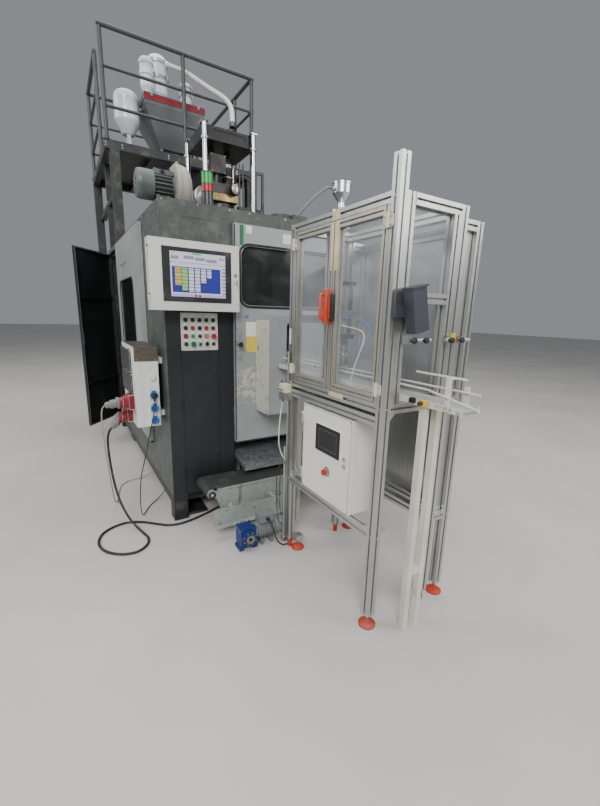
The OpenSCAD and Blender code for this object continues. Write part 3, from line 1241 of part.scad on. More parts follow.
// The cord's route is measured from the socket box's left face
cord_points = [[-145.1, -840, 676.1], [-162, -842, 653], [-176, -846, 610], [-180, -858, 540],
  [-178, -880, 450], [-172, -912, 350], [-160, -955, 250], [-140, -1005, 160], [-110, -1065, 85],
  [-75, -1130, 36], [-40, -1210, 12], [-20, -1290, 9], [-40, -1370, 9], [-110, -1420, 9], [-200, -1400, 9],
  [-280, -1320, 9], [-310, -1210, 9], [-280, -1100, 9], [-200, -1035, 9], [-110, -1020, 9],
  [-20, -1060, 9], [60, -1130, 9], [130, -1190, 9], [210, -1212, 9], [300, -1200, 9], [390, -1170, 9],
  [490, -1130, 9], [590, -1080, 9]];
module floor_cord() color([0.06, 0.06, 0.065]) translate([sock_x0, 0, 0])
  tube_on(smooth(cord_points, 2), cord_d, 8);

post_z0 = level_h + gap;
rail_top_z = test_h - prof;
low_z = 467;

bite = prof*0.26 - gap;     // how far a pane reaches into a profile's slot
sill_z = 1455;

module test_frame() color([0.72, 0.73, 0.72]) {
  xs = [tx0, tx1 - prof];
  ys = [ty0, ty1 - prof];
  step = prof + weld;
  inner_x = test_w - 2*step;
  inner_y = test_d - 2*step;
  // Corner posts; the near left one is doubled above the middle rail and stands above the frame
  bar_z([xs[0], ys[0], post_z0], test_h + 132 - post_z0);
  bar_z([xs[0] + step, ys[0], mid_z + weld], test_h - mid_z - weld);
  bar_z([xs[1], ys[0], post_z0], test_h - post_z0);
  bar_z([xs[1] - step, ys[0], mid_z + weld], rail_top_z - mid_z - 2*weld);
  for (x = xs) bar_z([x, ys[1], post_z0], test_h - post_z0);
  // Top, middle, lower and cross rails
  bar_x([tx0 + 2*step, ys[0], rail_top_z], inner_x - step);
  bar_x([tx0 + step, ys[1], rail_top_z], inner_x);
  for (y = ys) bar_x([tx0 + step, y, mid_z - prof], inner_x);
  for (x = xs, z = [rail_top_z, mid_z - prof, low_z]) bar_y([x, ty0 + step, z], inner_y);
  bar_x([tx0 + step, ys[1], low_z], inner_x);
  bar_x([tx0 + step, ys[1], sill_z], inner_x);
  bar_y([tx0, ty0 + step, mid_z - 2*prof - 16], inner_y);
  bar_x([tx0 + 2*step, ty0, 1560], inner_x - 2*step);
  // Narrow side bay: outer posts, rails and closed panels in the slots
  bx = bay_x - prof;
  for (y = ys) bar_z([bx, y, post_z0], test_h - 50 - post_z0);
  for (z = [test_h - 50 - prof, mid_z - prof, low_z]) {
    bar_y([bx, ty0 + step, z], inner_y);
    for (y = ys) bar_x([tx1 + weld, y, z], bay_w - prof - 2*weld);
  }
  for (z = [[low_z + prof - bite, mid_z - prof + bite], [mid_z - bite, test_h - 50 - prof + bite]]) {
    box([bx + prof/2 - 2, ty0 + prof - bite, z[0]], [bx + prof/2 + 2, ty1 - prof + bite, z[1]]);
    for (y = ys) box([tx1 - bite, y + prof/2 - 2, z[0]], [bx + bite, y + prof/2 + 2, z[1]]);
  }
  // Corner caps, the cable duct block and the slim posts beside the far left leg
  for (x = [tx0 - 3, tx0 + 2*step]) box([x, ty0 - 3, test_h - prof], [x + 3 - weld, ty0 - weld, test_h]);
  box([tx0 - 45, ty1 - 40, mid_z - 135], [tx0 - weld, ty1 + 30, mid_z - 40]);
  for (x = [tx0 + 10, tx0 + 40, tx0 + 66]) rod_z([x, ty1 + 40, 36 + weld], 18, x > tx0 + 50 ? 580 : 640);
  box([tx0, ty1 + 24, 0], [tx0 + 90, ty1 + 60, 36]);
  box([tx0, ty1 + weld, 560], [tx0 + 80, ty1 + 31 - weld, 590]);
  box([tx0 + 34, ty1 - prof - 48, post_z0], [tx0 + 82, ty1 - prof - weld, post_z0 + 34]);
}

module level_foot(x, y) {
  translate([x, y, 0]) rotate_extrude() polygon([[0, 0], [level_d/2, 0], [level_d/2, 8], [level_d*0.3, 18],
    [12, 22], [8, 24], [8, level_h], [0, level_h]]);
}
module level_feet() color([0.8, 0.2, 0.12]) {
  for (x = [tx0 + prof/2, bay_x - prof/2]) level_foot(x, ty0 + prof/2);
  // The far left foot stands beside its post on a bracket
  level_foot(tx0 + 58, ty1 - prof - 24);
  level_foot(bay_x - prof/2, ty1 - prof/2);
  rod_z([tx0 + prof/2, ty1 - prof/2, 0], 30, level_h);
  for (y = [ty0 + prof/2, ty1 - prof/2]) rod_z([tx1 - prof/2, y, 0], 30, level_h);
}

module frame_panes() color([0.8, 0.85, 0.88, 0.3]) {
  c = clear_t/2;
  m = prof/2;
  step = prof + weld;
  // Front upper pane, far pane, pane to the side bay, roof pane
  box([tx0 + 2*step - bite, ty0 + m - c, 1560 + prof - bite],
    [tx1 - 2*step + bite, ty0 + m + c, rail_top_z + bite]);
  box([tx0 + prof - bite, ty1 - m - c, sill_z + prof - bite],
    [tx1 - prof + bite, ty1 - m + c, rail_top_z + bite]);
  box([tx1 - m - c, ty0 + prof - bite, mid_z - bite], [tx1 - m + c, ty1 - prof + bite, rail_top_z + bite]);
  box([tx0 + 70 + prof - bite, ty0 + prof + gap, rail_top_z + m - c],
    [tx1 - prof + bite, ty1 - prof - gap, rail_top_z + m + c]);
}

// Station doors: both hang on the outer face, on knuckles beside the corner posts
leaf_gap = 2;
door_z0 = mid_z + 2;
door_z1 = rail_top_z - 2;
door_mid = (ty0 + ty1)/2;
far_edge = ty1 - prof - leaf_gap;
near_edge = ty0 + prof + leaf_gap;

module door_frame(y0, y1) {
  for (y = [y0, y1 - stile]) bar_z([tx0, y, door_z0], door_z1 - door_z0, stile);
  for (z = [door_z0, door_z1 - stile]) bar_y([tx0, y0 + stile + weld, z],
    y1 - y0 - 2*stile - 2*weld, stile);
}
module knuckles(y, inward) {
  for (z = [door_z0 + 30, door_z1 - 90]) {
    rod_z([tx0 - 8, y, z], 14, 60);
    box([tx0 - 4, inward > 0 ? y + 2 : y - 32, z], [tx0 - weld, inward > 0 ? y + 32 : y - 2, z + 60]);
  }
}
module test_door_far() color([0.74, 0.73, 0.68]) {
  door_frame(door_mid + 2, far_edge);
  knuckles(far_edge + 1, -1);
  // Safety handle over the meeting stiles
  box([tx0 - 30, door_mid + 4, 1460], [tx0 - weld, door_mid + 34, 1625]);
}
module test_door_near() color([0.74, 0.73, 0.68]) {
  door_frame(near_edge, door_mid - 2);
  knuckles(near_edge - 1, 1);
  box([tx0 - 20, door_mid - 34, 1480], [tx0 - weld, door_mid - 6, 1600]);
}
module pane(y0, y1) {
  b = stile - stile*0.26 + gap;
  box([tx0 + stile/2 - clear_t/2, y0 + b, door_z0 + b], [tx0 + stile/2 + clear_t/2, y1 - b, door_z1 - b]);
}
module door_pane_far() color([0.8, 0.85, 0.88, 0.3]) pane(door_mid + 2, far_edge);
module door_pane_near() color([0.8, 0.85, 0.88, 0.3]) pane(near_edge, door_mid - 2);

box_z0 = low_z + prof + gap;
box_y1 = ty1 - prof - 140;
box_y0 = box_y1 - box_w;
box_x0 = tx0 + 20;

module control_box() color([0.8, 0.79, 0.74]) {
  wall = 3;
  difference() {
    box([box_x0, box_y0, box_z0], [box_x0 + box_d, box_y1, box_z0 + box_h]);
    box([box_x0 - 1, box_y0 + wall, box_z0 + wall],
      [box_x0 + box_d - wall, box_y1 - wall, box_z0 + box_h - wall]);
  }
  // Mounting plate with terminal rows on four studs
  px = box_x0 + box_d - 24;
  box([px, box_y0 + 30, box_z0 + 30], [px + 3, box_y1 - 30, box_z0 + box_h - 30]);
  for (y = [box_y0 + 45, box_y1 - 45], z = [box_z0 + 45, box_z0 + box_h - 45])
    rod_x([px + 3 + weld, y, z], 10, 21 - wall - 2*weld);
  for (k = [0 : 2]) box([px - 45, box_y0 + 60, box_z0 + 70 + 140*k],
    [px - weld, box_y1 - 60, box_z0 + 140 + 140*k]);
}

ctl_axis = [tx0 - 6, box_y1 + 1];
ctl_stop_at = [tx0, box_y0 + 190, box_z0 + 170];
module control_door() color([0.86, 0.85, 0.79]) {
  difference() {
    box([tx0, box_y0, box_z0], [box_x0 - gap, box_y1, box_z0 + box_h]);
    box([tx0 + 3, box_y0 + 8, box_z0 + 8], [box_x0, box_y1 - 8, box_z0 + box_h - 8]);
    rod_x([tx0 - 1, ctl_stop_at[1], ctl_stop_at[2]], 22, 10);
  }
  // Touch panel frame, hinge knuckles
  box([tx0 - 7, box_y0 + 78, box_z0 + 270], [tx0 - weld, box_y0 + 296, box_z0 + 420]);
  for (z = [box_z0 + 50, box_z0 + box_h - 110]) {
    rod_z([ctl_axis[0], ctl_axis[1], z], 12, 60);
    box([ctl_axis[0] + 3, ctl_axis[1] - 26, z], [tx0 - weld, ctl_axis[1] - 2, z + 60]);
  }
}
module control_stop() color([0.8, 0.18, 0.1])
  translate(ctl_stop_at) rotate([0, -90, 0]) {
    translate([0, 0, -10]) cylinder(d = 22 - 2*run, h = 20);
    translate([0, 0, 10]) cylinder(d1 = 22 - 2*run, d2 = stop_d, h = 3);
    translate([0, 0, 13]) cylinder(d1 = stop_d, d2 = stop_d*0.8, h = 14);
  }

// Test fixture: bridge across the chamber, guide rods and clamp bars over the lane
fix_y = door_mid + 120;
head_rod = 16;
module test_fixture() color([0.45, 0.46, 0.47]) {
  bar_y([tx0 + 70, ty0 + prof + weld, rail_top_z + 0], test_d - 2*prof - 2*weld);
  bar_z([tx0 + 70, fix_y, mid_z + 30], rail_top_z - mid_z - 30 - weld);
  bar_y([tx0 + 70, ty0 + prof + weld, mid_z - prof], fix_y - ty0 + 60);
  box([tx0 + 60, fix_y - 20, mid_z + weld], [tx0 + 125, fix_y + prof + 20, mid_z + 30 - weld]);
  // Cantilever with the guide bores of the test head
  difference() {
    box([tx0 + 115 + weld, fix_y + 2, 1500], [lane_x + 80, fix_y + prof - 2, 1530]);
    for (s = [-1, 1]) rod_z([lane_x + s*35, fix_y + prof/2, 1499], head_rod + 2*run, 40);
  }
  // Holder rods in front of the near posts
  for (h = [[tx0 + 2*prof - 20, 150], [tx1 - 107, 171]]) {
    rod_x([h[0], ty0 - 30, 1408], 16, h[1]);
    box([h[0] + (h[0] < lane_x ? 0 : 62), ty0 - 48, 1392],
      [h[0] + (h[0] < lane_x ? 18 : 80), ty0 - weld, 1424]);
  }
  // Clamp bars either side of the lane on short arms
  for (z = [1230, 1290]) {
    box([tx0 + 115 + weld, fix_y + 8, z], [lane_x - 60, fix_y + 28, z + 14]);
    box([lane_x - 60 + weld, fix_y - 90, z], [lane_x - 46, fix_y + 130, z + 14]);
  }
}
module test_head() color([0.16, 0.17, 0.18]) {
  for (s = [-1, 1]) rod_z([lane_x + s*35, fix_y + prof/2, 1400 + weld], head_rod, 260);
  box([lane_x - 44.5, fix_y - 10, 1376], [lane_x + 44.5, fix_y + prof + 10, 1400]);
  translate([lane_x, fix_y + prof/2, 1340]) cylinder(d1 = 26, d2 = 44, h = 36 - weld);
  box([lane_x - 50, fix_y, 1660 + 2*weld], [lane_x + 50, fix_y + prof, 1680]);
}

module sensor_box() color([0.25, 0.28, 0.35]) {
  // Flat head hung askew in front of the near left post on a clamp bracket
  box([tx0 + 6, ty0 - 22, 1500], [tx0 + 84, ty0 - weld, 1550]);
  translate([tx0 + 75, ty0 - 75, 1434]) rotate([0, -13, 0]) {
    box([0, 0, 0], [80, 53 - weld, 178]);
    box([-3, -8, 178 + weld], [84, 53 - weld, 186]);
  }
}

lane_y0 = ty0 - 280;
lane_y1 = guard_y0 - casing_d - 18;
module outfeed_conveyor() color([0.78, 0.76, 0.66]) {
  x0 = lane_x - out_w/2;
  x1 = lane_x + out_w/2;
  t = 4;
  base = mid_z + gap;
  axis_z = base + 14;
  // Side plates with an oval slot, end rollers, slider bed
  for (x = [x0, x1 - t]) difference() {
    box([x, lane_y0, base], [x + t, lane_y1, out_z - 6]);
    for (y = [lane_y0 + 12, lane_y1 - 12]) rod_x([x - 1, y, axis_z], 8 + 2*run, t + 2);
    box([x - 1, lane_y0 + 50, base + 10], [x + t + 1, lane_y0 + 130, base + 20]);
  }
  for (y = [lane_y0 + 12, lane_y1 - 12]) {
    rod_x([x0 - 8, y, axis_z], 8, out_w + 16);
    rod_x([x0 + t + 1, y, axis_z], 20, out_w - 2*t - 2);
  }
  box([x0 + t + weld, lane_y0 + 40, base + 5], [x1 - t - weld, lane_y1 - 40, base + 23]);
  // Guide rods on clamps at both sides
  for (s = [-1, 1]) {
    gx = lane_x + s*(out_w/2 - 6);
    start = s > 0 ? lane_y0 : lane_y0 + 184;
    rod_y([gx, start, out_z + 40], 10, lane_y1 - 50 - start);
    if (s < 0) {
      rod_to([gx, start - 2.5, out_z + 40], [gx - 151, start - 345, out_z + 40], 10);
      // Upper rod on its own post
      rod_y([gx + 34, lane_y0 + 25, out_z + 103], 10, 253);
      box([x0 - 12, lane_y0 + 60, out_z + 62 + 2*weld], [x0 - 2, lane_y0 + 80, out_z + 112]);
      rod_x([x0 - 2 + weld, lane_y0 + 70, out_z + 103], 8, gx + 29 - x0 + 2 - 2*weld);
    }
    for (y = [lane_y0 + 60, lane_y0 + 470, lane_y1 - 260]) {
      box([s > 0 ? x1 + weld : x0 - 12, y, base + 8], [s > 0 ? x1 + 12 : x0 - weld, y + 20, out_z + 54]);
      box([s > 0 ? gx + 5.2 : x0 - 12, y, out_z + 54 + weld],
        [s > 0 ? x1 + 12 : gx - 5.2, y + 20, out_z + 62]);
      rod_x([s > 0 ? gx + 5 + weld : x0 - weld, y + 10, out_z + 40], 8, 1);
    }
  }
  // Support legs outside the chamber
  for (y = [lane_y0 + 180, lane_y1 - 160], x = [x0, x1 - 30])
    box([x, y, 0], [x + 30, y + 30, base - weld]);
  for (y = [lane_y0 + 180, lane_y1 - 160]) box([x0 + 30 + weld, y, 300], [x1 - 30 - weld, y + 30, 330]);
}

module outfeed_belt() color([0.62, 0.64, 0.65]) {
  x0 = lane_x - out_w/2 + 4 + 1;
  w = out_w - 8 - 2;
  z = mid_z + gap + 14;
  r = 10 + gap;
  top = out_z - z;
  translate([x0, 0, 0]) rotate([90, 0, 90]) linear_extrude(w) difference() {
    union() {
      translate([lane_y0 + 12, z - r - 2]) square([lane_y1 - lane_y0 - 24, 2*r + 4]);
      for (y = [lane_y0 + 12, lane_y1 - 12]) translate([y, z]) circle(r + 2);
    }
    translate([lane_y0 + 12, z - r]) square([lane_y1 - lane_y0 - 24, 2*r]);
    for (y = [lane_y0 + 12, lane_y1 - 12]) translate([y, z]) circle(r);
  }
}

base_frame();
cabinet_shell();
front_column();
roof_plate();
hmi_housing();
hmi_door();
hmi_screen();
button_plate();
push_buttons();
emergency_stop();
start_button();
selector_switch();
guard_door();
guard_window();
side_guard();
side_window();
rear_door();
clamp_frame();
clamp_carriage();
mould_left();
mould_right();
blow_pin();
die_head();
extruder();
extruder_drive();
head_bridge();
lift_columns();
service_platform();
handrail();
dosing_hopper();
vacuum_loaders();
material_hose();
blower_housing();
blower_motor();
signal_tower();
receiver_funnel();
receiver_hose();
flash_chute();
scrap_conveyor();
scrap_belt();
drive_gearbox();
drive_motor();
socket_box();
power_plugs();
floor_cord();
test_frame();
level_feet();
frame_panes();
test_door_far();
door_pane_far();
test_door_near();
door_pane_near();
control_box();
control_door();
control_stop();
test_fixture();
test_head();
sensor_box();
outfeed_conveyor();
outfeed_belt();
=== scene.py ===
import bpy
import math
import numpy as np
from mathutils import Matrix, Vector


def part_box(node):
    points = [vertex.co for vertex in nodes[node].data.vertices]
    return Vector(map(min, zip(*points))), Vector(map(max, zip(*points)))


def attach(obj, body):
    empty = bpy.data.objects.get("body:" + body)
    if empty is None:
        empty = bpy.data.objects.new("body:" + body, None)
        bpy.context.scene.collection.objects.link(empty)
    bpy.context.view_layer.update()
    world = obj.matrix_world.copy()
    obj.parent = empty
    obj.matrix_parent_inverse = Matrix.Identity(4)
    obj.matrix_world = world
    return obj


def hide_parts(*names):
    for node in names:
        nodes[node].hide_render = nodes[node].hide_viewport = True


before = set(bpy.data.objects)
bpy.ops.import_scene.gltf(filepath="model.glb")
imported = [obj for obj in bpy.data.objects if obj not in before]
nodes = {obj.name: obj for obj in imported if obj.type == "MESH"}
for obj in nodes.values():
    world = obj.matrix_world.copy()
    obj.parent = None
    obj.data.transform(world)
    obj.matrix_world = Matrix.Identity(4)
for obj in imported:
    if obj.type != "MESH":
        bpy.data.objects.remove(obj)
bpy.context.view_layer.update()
print("frame loaded,", len(nodes), "nodes")

# camera, at a standing person's eye height on the left of the station
camera = {"place": (-1.485, -3.788, 1.5), "yaw": 31.79, "pitch": 12.91, "roll": -1.59, "lens": 17.21, "sensor": 36}


def setCamera(c):
    # forward from yaw and pitch; right and down are turned about it by the roll
    yaw, pitch, roll = (math.radians(c[k]) for k in ("yaw", "pitch", "roll"))
    ahead = np.array([math.sin(yaw)*math.cos(pitch), math.cos(yaw)*math.cos(pitch), -math.sin(pitch)])
    level = np.array([math.cos(yaw), -math.sin(yaw), 0])
    under = np.cross(ahead, level)
    right = math.cos(roll)*level + math.sin(roll)*under
    down = -math.sin(roll)*level + math.cos(roll)*under
    data = bpy.data.cameras.new("camera")
    data.lens, data.sensor_width, data.clip_end = c["lens"], c["sensor"], 200
    thing = bpy.data.objects.new("camera", data)
    bpy.context.scene.collection.objects.link(thing)
    turn = np.eye(4)
    turn[:3, 0], turn[:3, 1], turn[:3, 2], turn[:3, 3] = right, -down, -ahead, c["place"]
    thing.matrix_world = Matrix(turn.tolist())
    bpy.context.scene.camera = thing


setCamera(camera)


# a shape is (points in millimetres, list of face arrays)
def gridFaces(rows, cols, wrapCols=True):
    # quads between neighbouring points of a rows by cols grid; wrapCols joins the last column to the first
    r, c = np.meshgrid(np.arange(rows - 1), np.arange(cols - (0 if wrapCols else 1)), indexing="ij")
    n = (c + 1) % cols
    return np.stack([r*cols + c, r*cols + n, (r + 1)*cols + n, (r + 1)*cols + c], -1).reshape(-1, 4)


def closed(rings):
    # rings of points stacked along a line, closed by a flat face at each end
    k, n = rings.shape[:2]
    return rings.reshape(-1, 3), [gridFaces(k, n), np.arange(n)[::-1][None], (np.arange(n) + (k - 1)*n)[None]]


def roundRect(w, h, r, n=3):
    # four quarter circles of radius r, joined by straight sides, round the origin
    a = np.linspace(0, np.pi/2, n + 1)
    corners = []
    for k, (sx, sy) in enumerate([(1, 1), (-1, 1), (-1, -1), (1, -1)]):
        t = a + k*np.pi/2
        corners.append(np.stack([sx*(w/2 - r) + r*np.cos(t), sy*(h/2 - r) + r*np.sin(t)], -1))
    return np.concatenate(corners)


def block(lo, hi, bevel=1.5, axis=2, radius=None, n=2):
    # a round-cornered outline drawn up along an axis, smaller by the bevel at both ends
    lo, hi = np.asarray(lo, float), np.asarray(hi, float)
    lo, hi = np.minimum(lo, hi), np.maximum(lo, hi)
    order = [(axis + 1) % 3, (axis + 2) % 3, axis]
    w, h, d = (hi - lo)[order]
    b = min(bevel, w*.45, h*.45, d*.45)
    r = min(radius or b, w*.49, h*.49)
    outer, inner = roundRect(w, h, r, n), roundRect(w - 2*b, h - 2*b, max(r - b, .02), n)
    flat = np.stack([inner, outer, outer, inner])
    up = np.array([0, b, d - b, d])[:, None, None]*np.ones((4, len(outer), 1))
    rings = np.empty((4, len(outer), 3))
    rings[..., order] = np.concatenate([flat + ((lo + hi)/2)[order][:2], up + lo[axis]], -1)
    return closed(rings)


def turned(profile, at=(0, 0, 0), axis=2, n=28):
    # a profile of radius and height turned about an axis through a point
    p = np.asarray(profile, float)
    a = np.linspace(0, 2*np.pi, n, endpoint=False)
    order = [(axis + 1) % 3, (axis + 2) % 3, axis]
    ring = np.stack([np.cos(a), np.sin(a)], -1)
    flat = np.maximum(p[:, 0], .01)[:, None, None]*ring[None]
    rings = np.empty((len(p), n, 3))
    rings[..., order] = np.concatenate([flat, p[:, 1][:, None, None]*np.ones((len(p), n, 1))], -1)
    return closed(rings + np.asarray(at, float))


def drawn(outline, axis, start, end):
    # a flat outline drawn out along an axis, from start to end; its shoelace area tells which way round it runs
    o = np.asarray(outline, float)
    if (o[:, 0]*np.roll(o[:, 1], -1) - o[:, 1]*np.roll(o[:, 0], -1)).sum() < 0:
        o = o[::-1]
    start, end = min(start, end), max(start, end)
    order = [(axis + 1) % 3, (axis + 2) % 3, axis]
    rings = np.empty((2, len(o), 3))
    rings[..., order] = np.stack([np.concatenate([o, np.full((len(o), 1), h)], -1) for h in (start, end)])
    return closed(rings)


def tube(path, radius, n=10):
    # a circle carried along a path; each ring is square to it and keeps the turn of the ring before;
    # the radius is a number or one for each point
    p = np.asarray(path, float)
    t = np.gradient(p, axis=0)
    t /= np.linalg.norm(t, axis=1)[:, None]
    u = np.empty_like(p)
    side = np.cross(t[0], (0, 0, 1) if abs(t[0, 2]) < .9 else (1, 0, 0))
    u[0] = side/np.linalg.norm(side)
    for i in range(1, len(p)):
        v = u[i - 1] - t[i]*(u[i - 1] @ t[i])
        u[i] = v/np.linalg.norm(v)
    w = np.cross(t, u)
    a = np.linspace(0, 2*np.pi, n, endpoint=False)[None, :, None]
    r = np.broadcast_to(np.asarray(radius, float), (len(p),))[:, None, None]
    return closed(p[:, None] + r*(np.cos(a)*u[:, None] + np.sin(a)*w[:, None]))


def smoothPath(points, steps):
    # Catmull-Rom curve through the points, steps to each span
    p = np.asarray(points, float)
    q = np.concatenate([p[:1], p, p[-1:]])
    a, b, c, d = q[:-3, None], q[1:-2, None], q[2:-1, None], q[3:, None]
    t = (np.arange(steps)/steps)[None, :, None]
    curve = .5*(2*b + (c - a)*t + (2*a - 5*b + 4*c - d)*t**2 + (3*b - a - 3*c + d)*t**3)
    return np.concatenate([curve.reshape(-1, 3), p[-1:]])


def evenPath(points, step):
    # the same curve with its points an even step apart, and how far along it each one lies
    p = smoothPath(points, 24)
    s = np.concatenate([[0], np.cumsum(np.linalg.norm(np.diff(p, axis=0), axis=1))])
    at = np.linspace(0, s[-1], max(int(s[-1]/step), 2))
    return np.stack([np.interp(at, s, p[:, k]) for k in range(3)], -1), at


def many(shape, offsets):
    # copies of a shape at the offsets
    pts, faces = shape
    o = np.asarray(offsets, float).reshape(-1, 3)
    shift = (np.arange(len(o))*len(pts))[:, None, None]
    return (pts[None] + o[:, None]).reshape(-1, 3), [(f[None] + shift).reshape(-1, f.shape[1]) for f in faces]


def spun(shape, degrees, axis=2, about=(0, 0, 0)):
    # the shape turned about an axis through a point
    pts, faces = shape
    a = math.radians(degrees)
    i, j = (axis + 1) % 3, (axis + 2) % 3
    q = pts - np.asarray(about, float)
    out = q.copy()
    out[:, i], out[:, j] = q[:, i]*math.cos(a) - q[:, j]*math.sin(a), q[:, i]*math.sin(a) + q[:, j]*math.cos(a)
    return out + np.asarray(about, float), faces


def moved(shape, offset):
    # the shape shifted by an offset
    return shape[0] + np.asarray(offset, float), shape[1]


def hexHead(at, axis, size=8, out=1):
    # hexagon head on a washer, pointing along an axis
    s = size
    washer = turned([(0, 0), (s*.95, 0), (s*.95, s*.16), (0, s*.16)], axis=axis, n=20)
    head = turned([(0, s*.16), (s*.62, s*.16), (s*.62, s*.55), (s*.52, s*.65), (0, s*.65)], axis=axis, n=6)
    return [moved(flipped(q, axis, out), at) for q in (washer, head)]


def capScrew(at, axis, size=5, out=1):
    # socket screw: a low cylinder with a hexagon hole
    s = size
    q = turned([(0, 0), (s*.8, 0), (s*.85, s*.1), (s*.85, s*.75), (s*.75, s*.85), (s*.45, s*.85), (s*.42, s*.4),
                (0, s*.4)], axis=axis, n=16)
    return [moved(flipped(q, axis, out), at)]


def flipped(shape, axis, out):
    # half a turn about a cross axis, so that the shape points the other way
    return shape if out > 0 else spun(shape, 180, (axis + 1) % 3)


class Shell:
    # gathers shapes into one mesh; a tag is the number of the finish that a shape takes
    def __init__(self):
        self.points, self.faces, self.tags, self.count = [], [], [], 0

    def add(self, shape, tag=0):
        # stores the points, and shifts the faces' numbers by the points stored before them
        for pts, faces in shape if isinstance(shape, list) else [shape]:
            self.points.append(pts)
            for f in faces:
                self.faces.append(f + self.count)
                self.tags.append(np.full(len(f), tag))
            self.count += len(pts)
        return self


def makePiece(name, shell, finishes, body, sharp=32):
    # one object from a shell; edges sharper than the angle, in degrees, stay crisp
    mesh = bpy.data.meshes.new(name)
    pts = np.concatenate(shell.points)*.001
    totals = np.concatenate([np.full(len(f), f.shape[1]) for f in shell.faces])
    loops = np.concatenate([f.ravel() for f in shell.faces])
    mesh.vertices.add(len(pts))
    mesh.vertices.foreach_set("co", pts.astype(np.float32).ravel())
    mesh.loops.add(len(loops))
    mesh.loops.foreach_set("vertex_index", loops.astype(np.int32))
    mesh.polygons.add(len(totals))
    mesh.polygons.foreach_set("loop_start", np.concatenate([[0], np.cumsum(totals)[:-1]]).astype(np.int32))
    mesh.polygons.foreach_set("loop_total", totals.astype(np.int32))
    mesh.polygons.foreach_set("material_index", np.concatenate(shell.tags).astype(np.int32))
    mesh.polygons.foreach_set("use_smooth", np.ones(len(totals), bool))
    mesh.update(calc_edges=True)
    mesh.validate()
    mesh.set_sharp_from_angle(angle=math.radians(sharp))
    thing = bpy.data.objects.new(name, mesh)
    bpy.context.scene.collection.objects.link(thing)
    for f in finishes:
        mesh.materials.append(f)
    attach(thing, body)
    return thing


# finishes
def srgb(r, g, b):
    # screen colour 0..255 to linear light
    return tuple(v/255/12.92 if v <= 10 else ((v/255 + .055)/1.055)**2.4 for v in (r, g, b))


class Sig:
    # one socket of a node tree; maths on it adds Math nodes
    def __init__(self, book, socket):
        self.book, self.socket = book, socket

    def maths(self, operation, *others):
        return self.book.node("ShaderNodeMath", {"operation": operation}, dict(enumerate((self, *others))))

    def __add__(self, o): return self.maths("ADD", o)
    def __mul__(self, o): return self.maths("MULTIPLY", o)
    def __sub__(self, o): return self.maths("SUBTRACT", o)
    def __rsub__(self, o): return self.book.node("ShaderNodeMath", {"operation": "SUBTRACT"}, {0: o, 1: self})
    def __gt__(self, o): return self.maths("GREATER_THAN", o)
    def __lt__(self, o): return self.maths("LESS_THAN", o)
    __radd__, __rmul__ = __add__, __mul__

    def ramp(self, low, high):
        # smooth step from 0 at low to 1 at high
        return self.book.node("ShaderNodeMapRange", {"interpolation_type": "SMOOTHSTEP"},
                              {"Value": self, "From Min": low, "From Max": high})


class Finish:
    # a material with one Principled shader; place is the position on the object, in metres
    def __init__(self, name, **shader):
        self.material = bpy.data.materials.new(name)
        self.material.use_nodes = True
        self.tree = self.material.node_tree
        self.tree.nodes.clear()
        self.shader = self.tree.nodes.new("ShaderNodeBsdfPrincipled")
        self.end = self.tree.nodes.new("ShaderNodeOutputMaterial")
        self.tree.links.new(self.shader.outputs[0], self.end.inputs["Surface"])
        self.place = self.node("ShaderNodeTexCoord", {}, {}, "Object")
        self.parts = None
        for k, v in shader.items():
            self.set(k.replace("_", " "), v)

    def node(self, kind, settings, sockets, output=0):
        # a new node: its settings first, then the values or links of its sockets
        new = self.tree.nodes.new(kind)
        for k, v in settings.items():
            setattr(new, k, v)
        for k, v in sockets.items():
            self.feed(self.find(new.inputs, k), v)
        return Sig(self, self.find(new.outputs, output))

    def find(self, group, key):
        # a socket by its number, or by its identifier or name
        if isinstance(key, int):
            return group[key]
        return next(s for s in group if key in (s.identifier, s.name) and s.enabled)

    def feed(self, socket, value):
        # a Sig is linked, anything else is set as the value
        if isinstance(value, Sig):
            self.tree.links.new(value.socket, socket)
        elif isinstance(value, tuple) and len(value) == 3 and socket.type == "RGBA":
            socket.default_value = (*value, 1)
        else:
            socket.default_value = value

    def set(self, name, value):
        self.feed(self.shader.inputs[name], value)

    def xyz(self):
        # the three coordinates in metres, split once
        if self.parts is None:
            whole = self.node("ShaderNodeSeparateXYZ", {}, {"Vector": self.place})
            outs = whole.socket.node.outputs
            self.parts = tuple(Sig(self, outs[k]) for k in range(3))
        return self.parts

    def noise(self, scale, detail=3, rough=.55, stretch=(1, 1, 1), shift=(0, 0, 0)):
        # noise from 0 to 1 on the stretched and shifted position
        where = self.node("ShaderNodeMapping", {}, {"Vector": self.place, "Scale": stretch, "Location": shift})
        return self.node("ShaderNodeTexNoise", {}, {"Vector": where, "Scale": scale, "Detail": detail,
                                                    "Roughness": rough}, "Fac")

    def cells(self, scale):
        # one tone for each Voronoi cell
        got = self.node("ShaderNodeTexVoronoi", {}, {"Vector": self.place, "Scale": scale}, "Color")
        return self.node("ShaderNodeSeparateColor", {}, {"Color": got})

    def mix(self, factor, a, b):
        # colour a where the factor is 0, b where it is 1
        return self.node("ShaderNodeMix", {"data_type": "RGBA"},
                         {"Factor_Float": factor, "A_Color": a, "B_Color": b}, "Result_Color")

    def bump(self, height, distance=.001, strength=.5):
        # a height from 0 to 1 tilts the normal
        self.set("Normal", self.node("ShaderNodeBump", {}, {"Height": height, "Distance": distance,
                                                            "Strength": strength}))

    def inside(self, axis, low, high):
        # 1 where a coordinate lies between two places
        v = self.xyz()[axis]
        return (v > low)*(v < high)

    def field(self, lo, hi):
        # 1 in a box
        x, y, z = (self.inside(axis, a, b) for axis, (a, b) in enumerate(zip(lo, hi)))
        return x*y*z


def shade(colour, k):
    # the colour times k
    return tuple(min(c*k, 1) for c in colour)


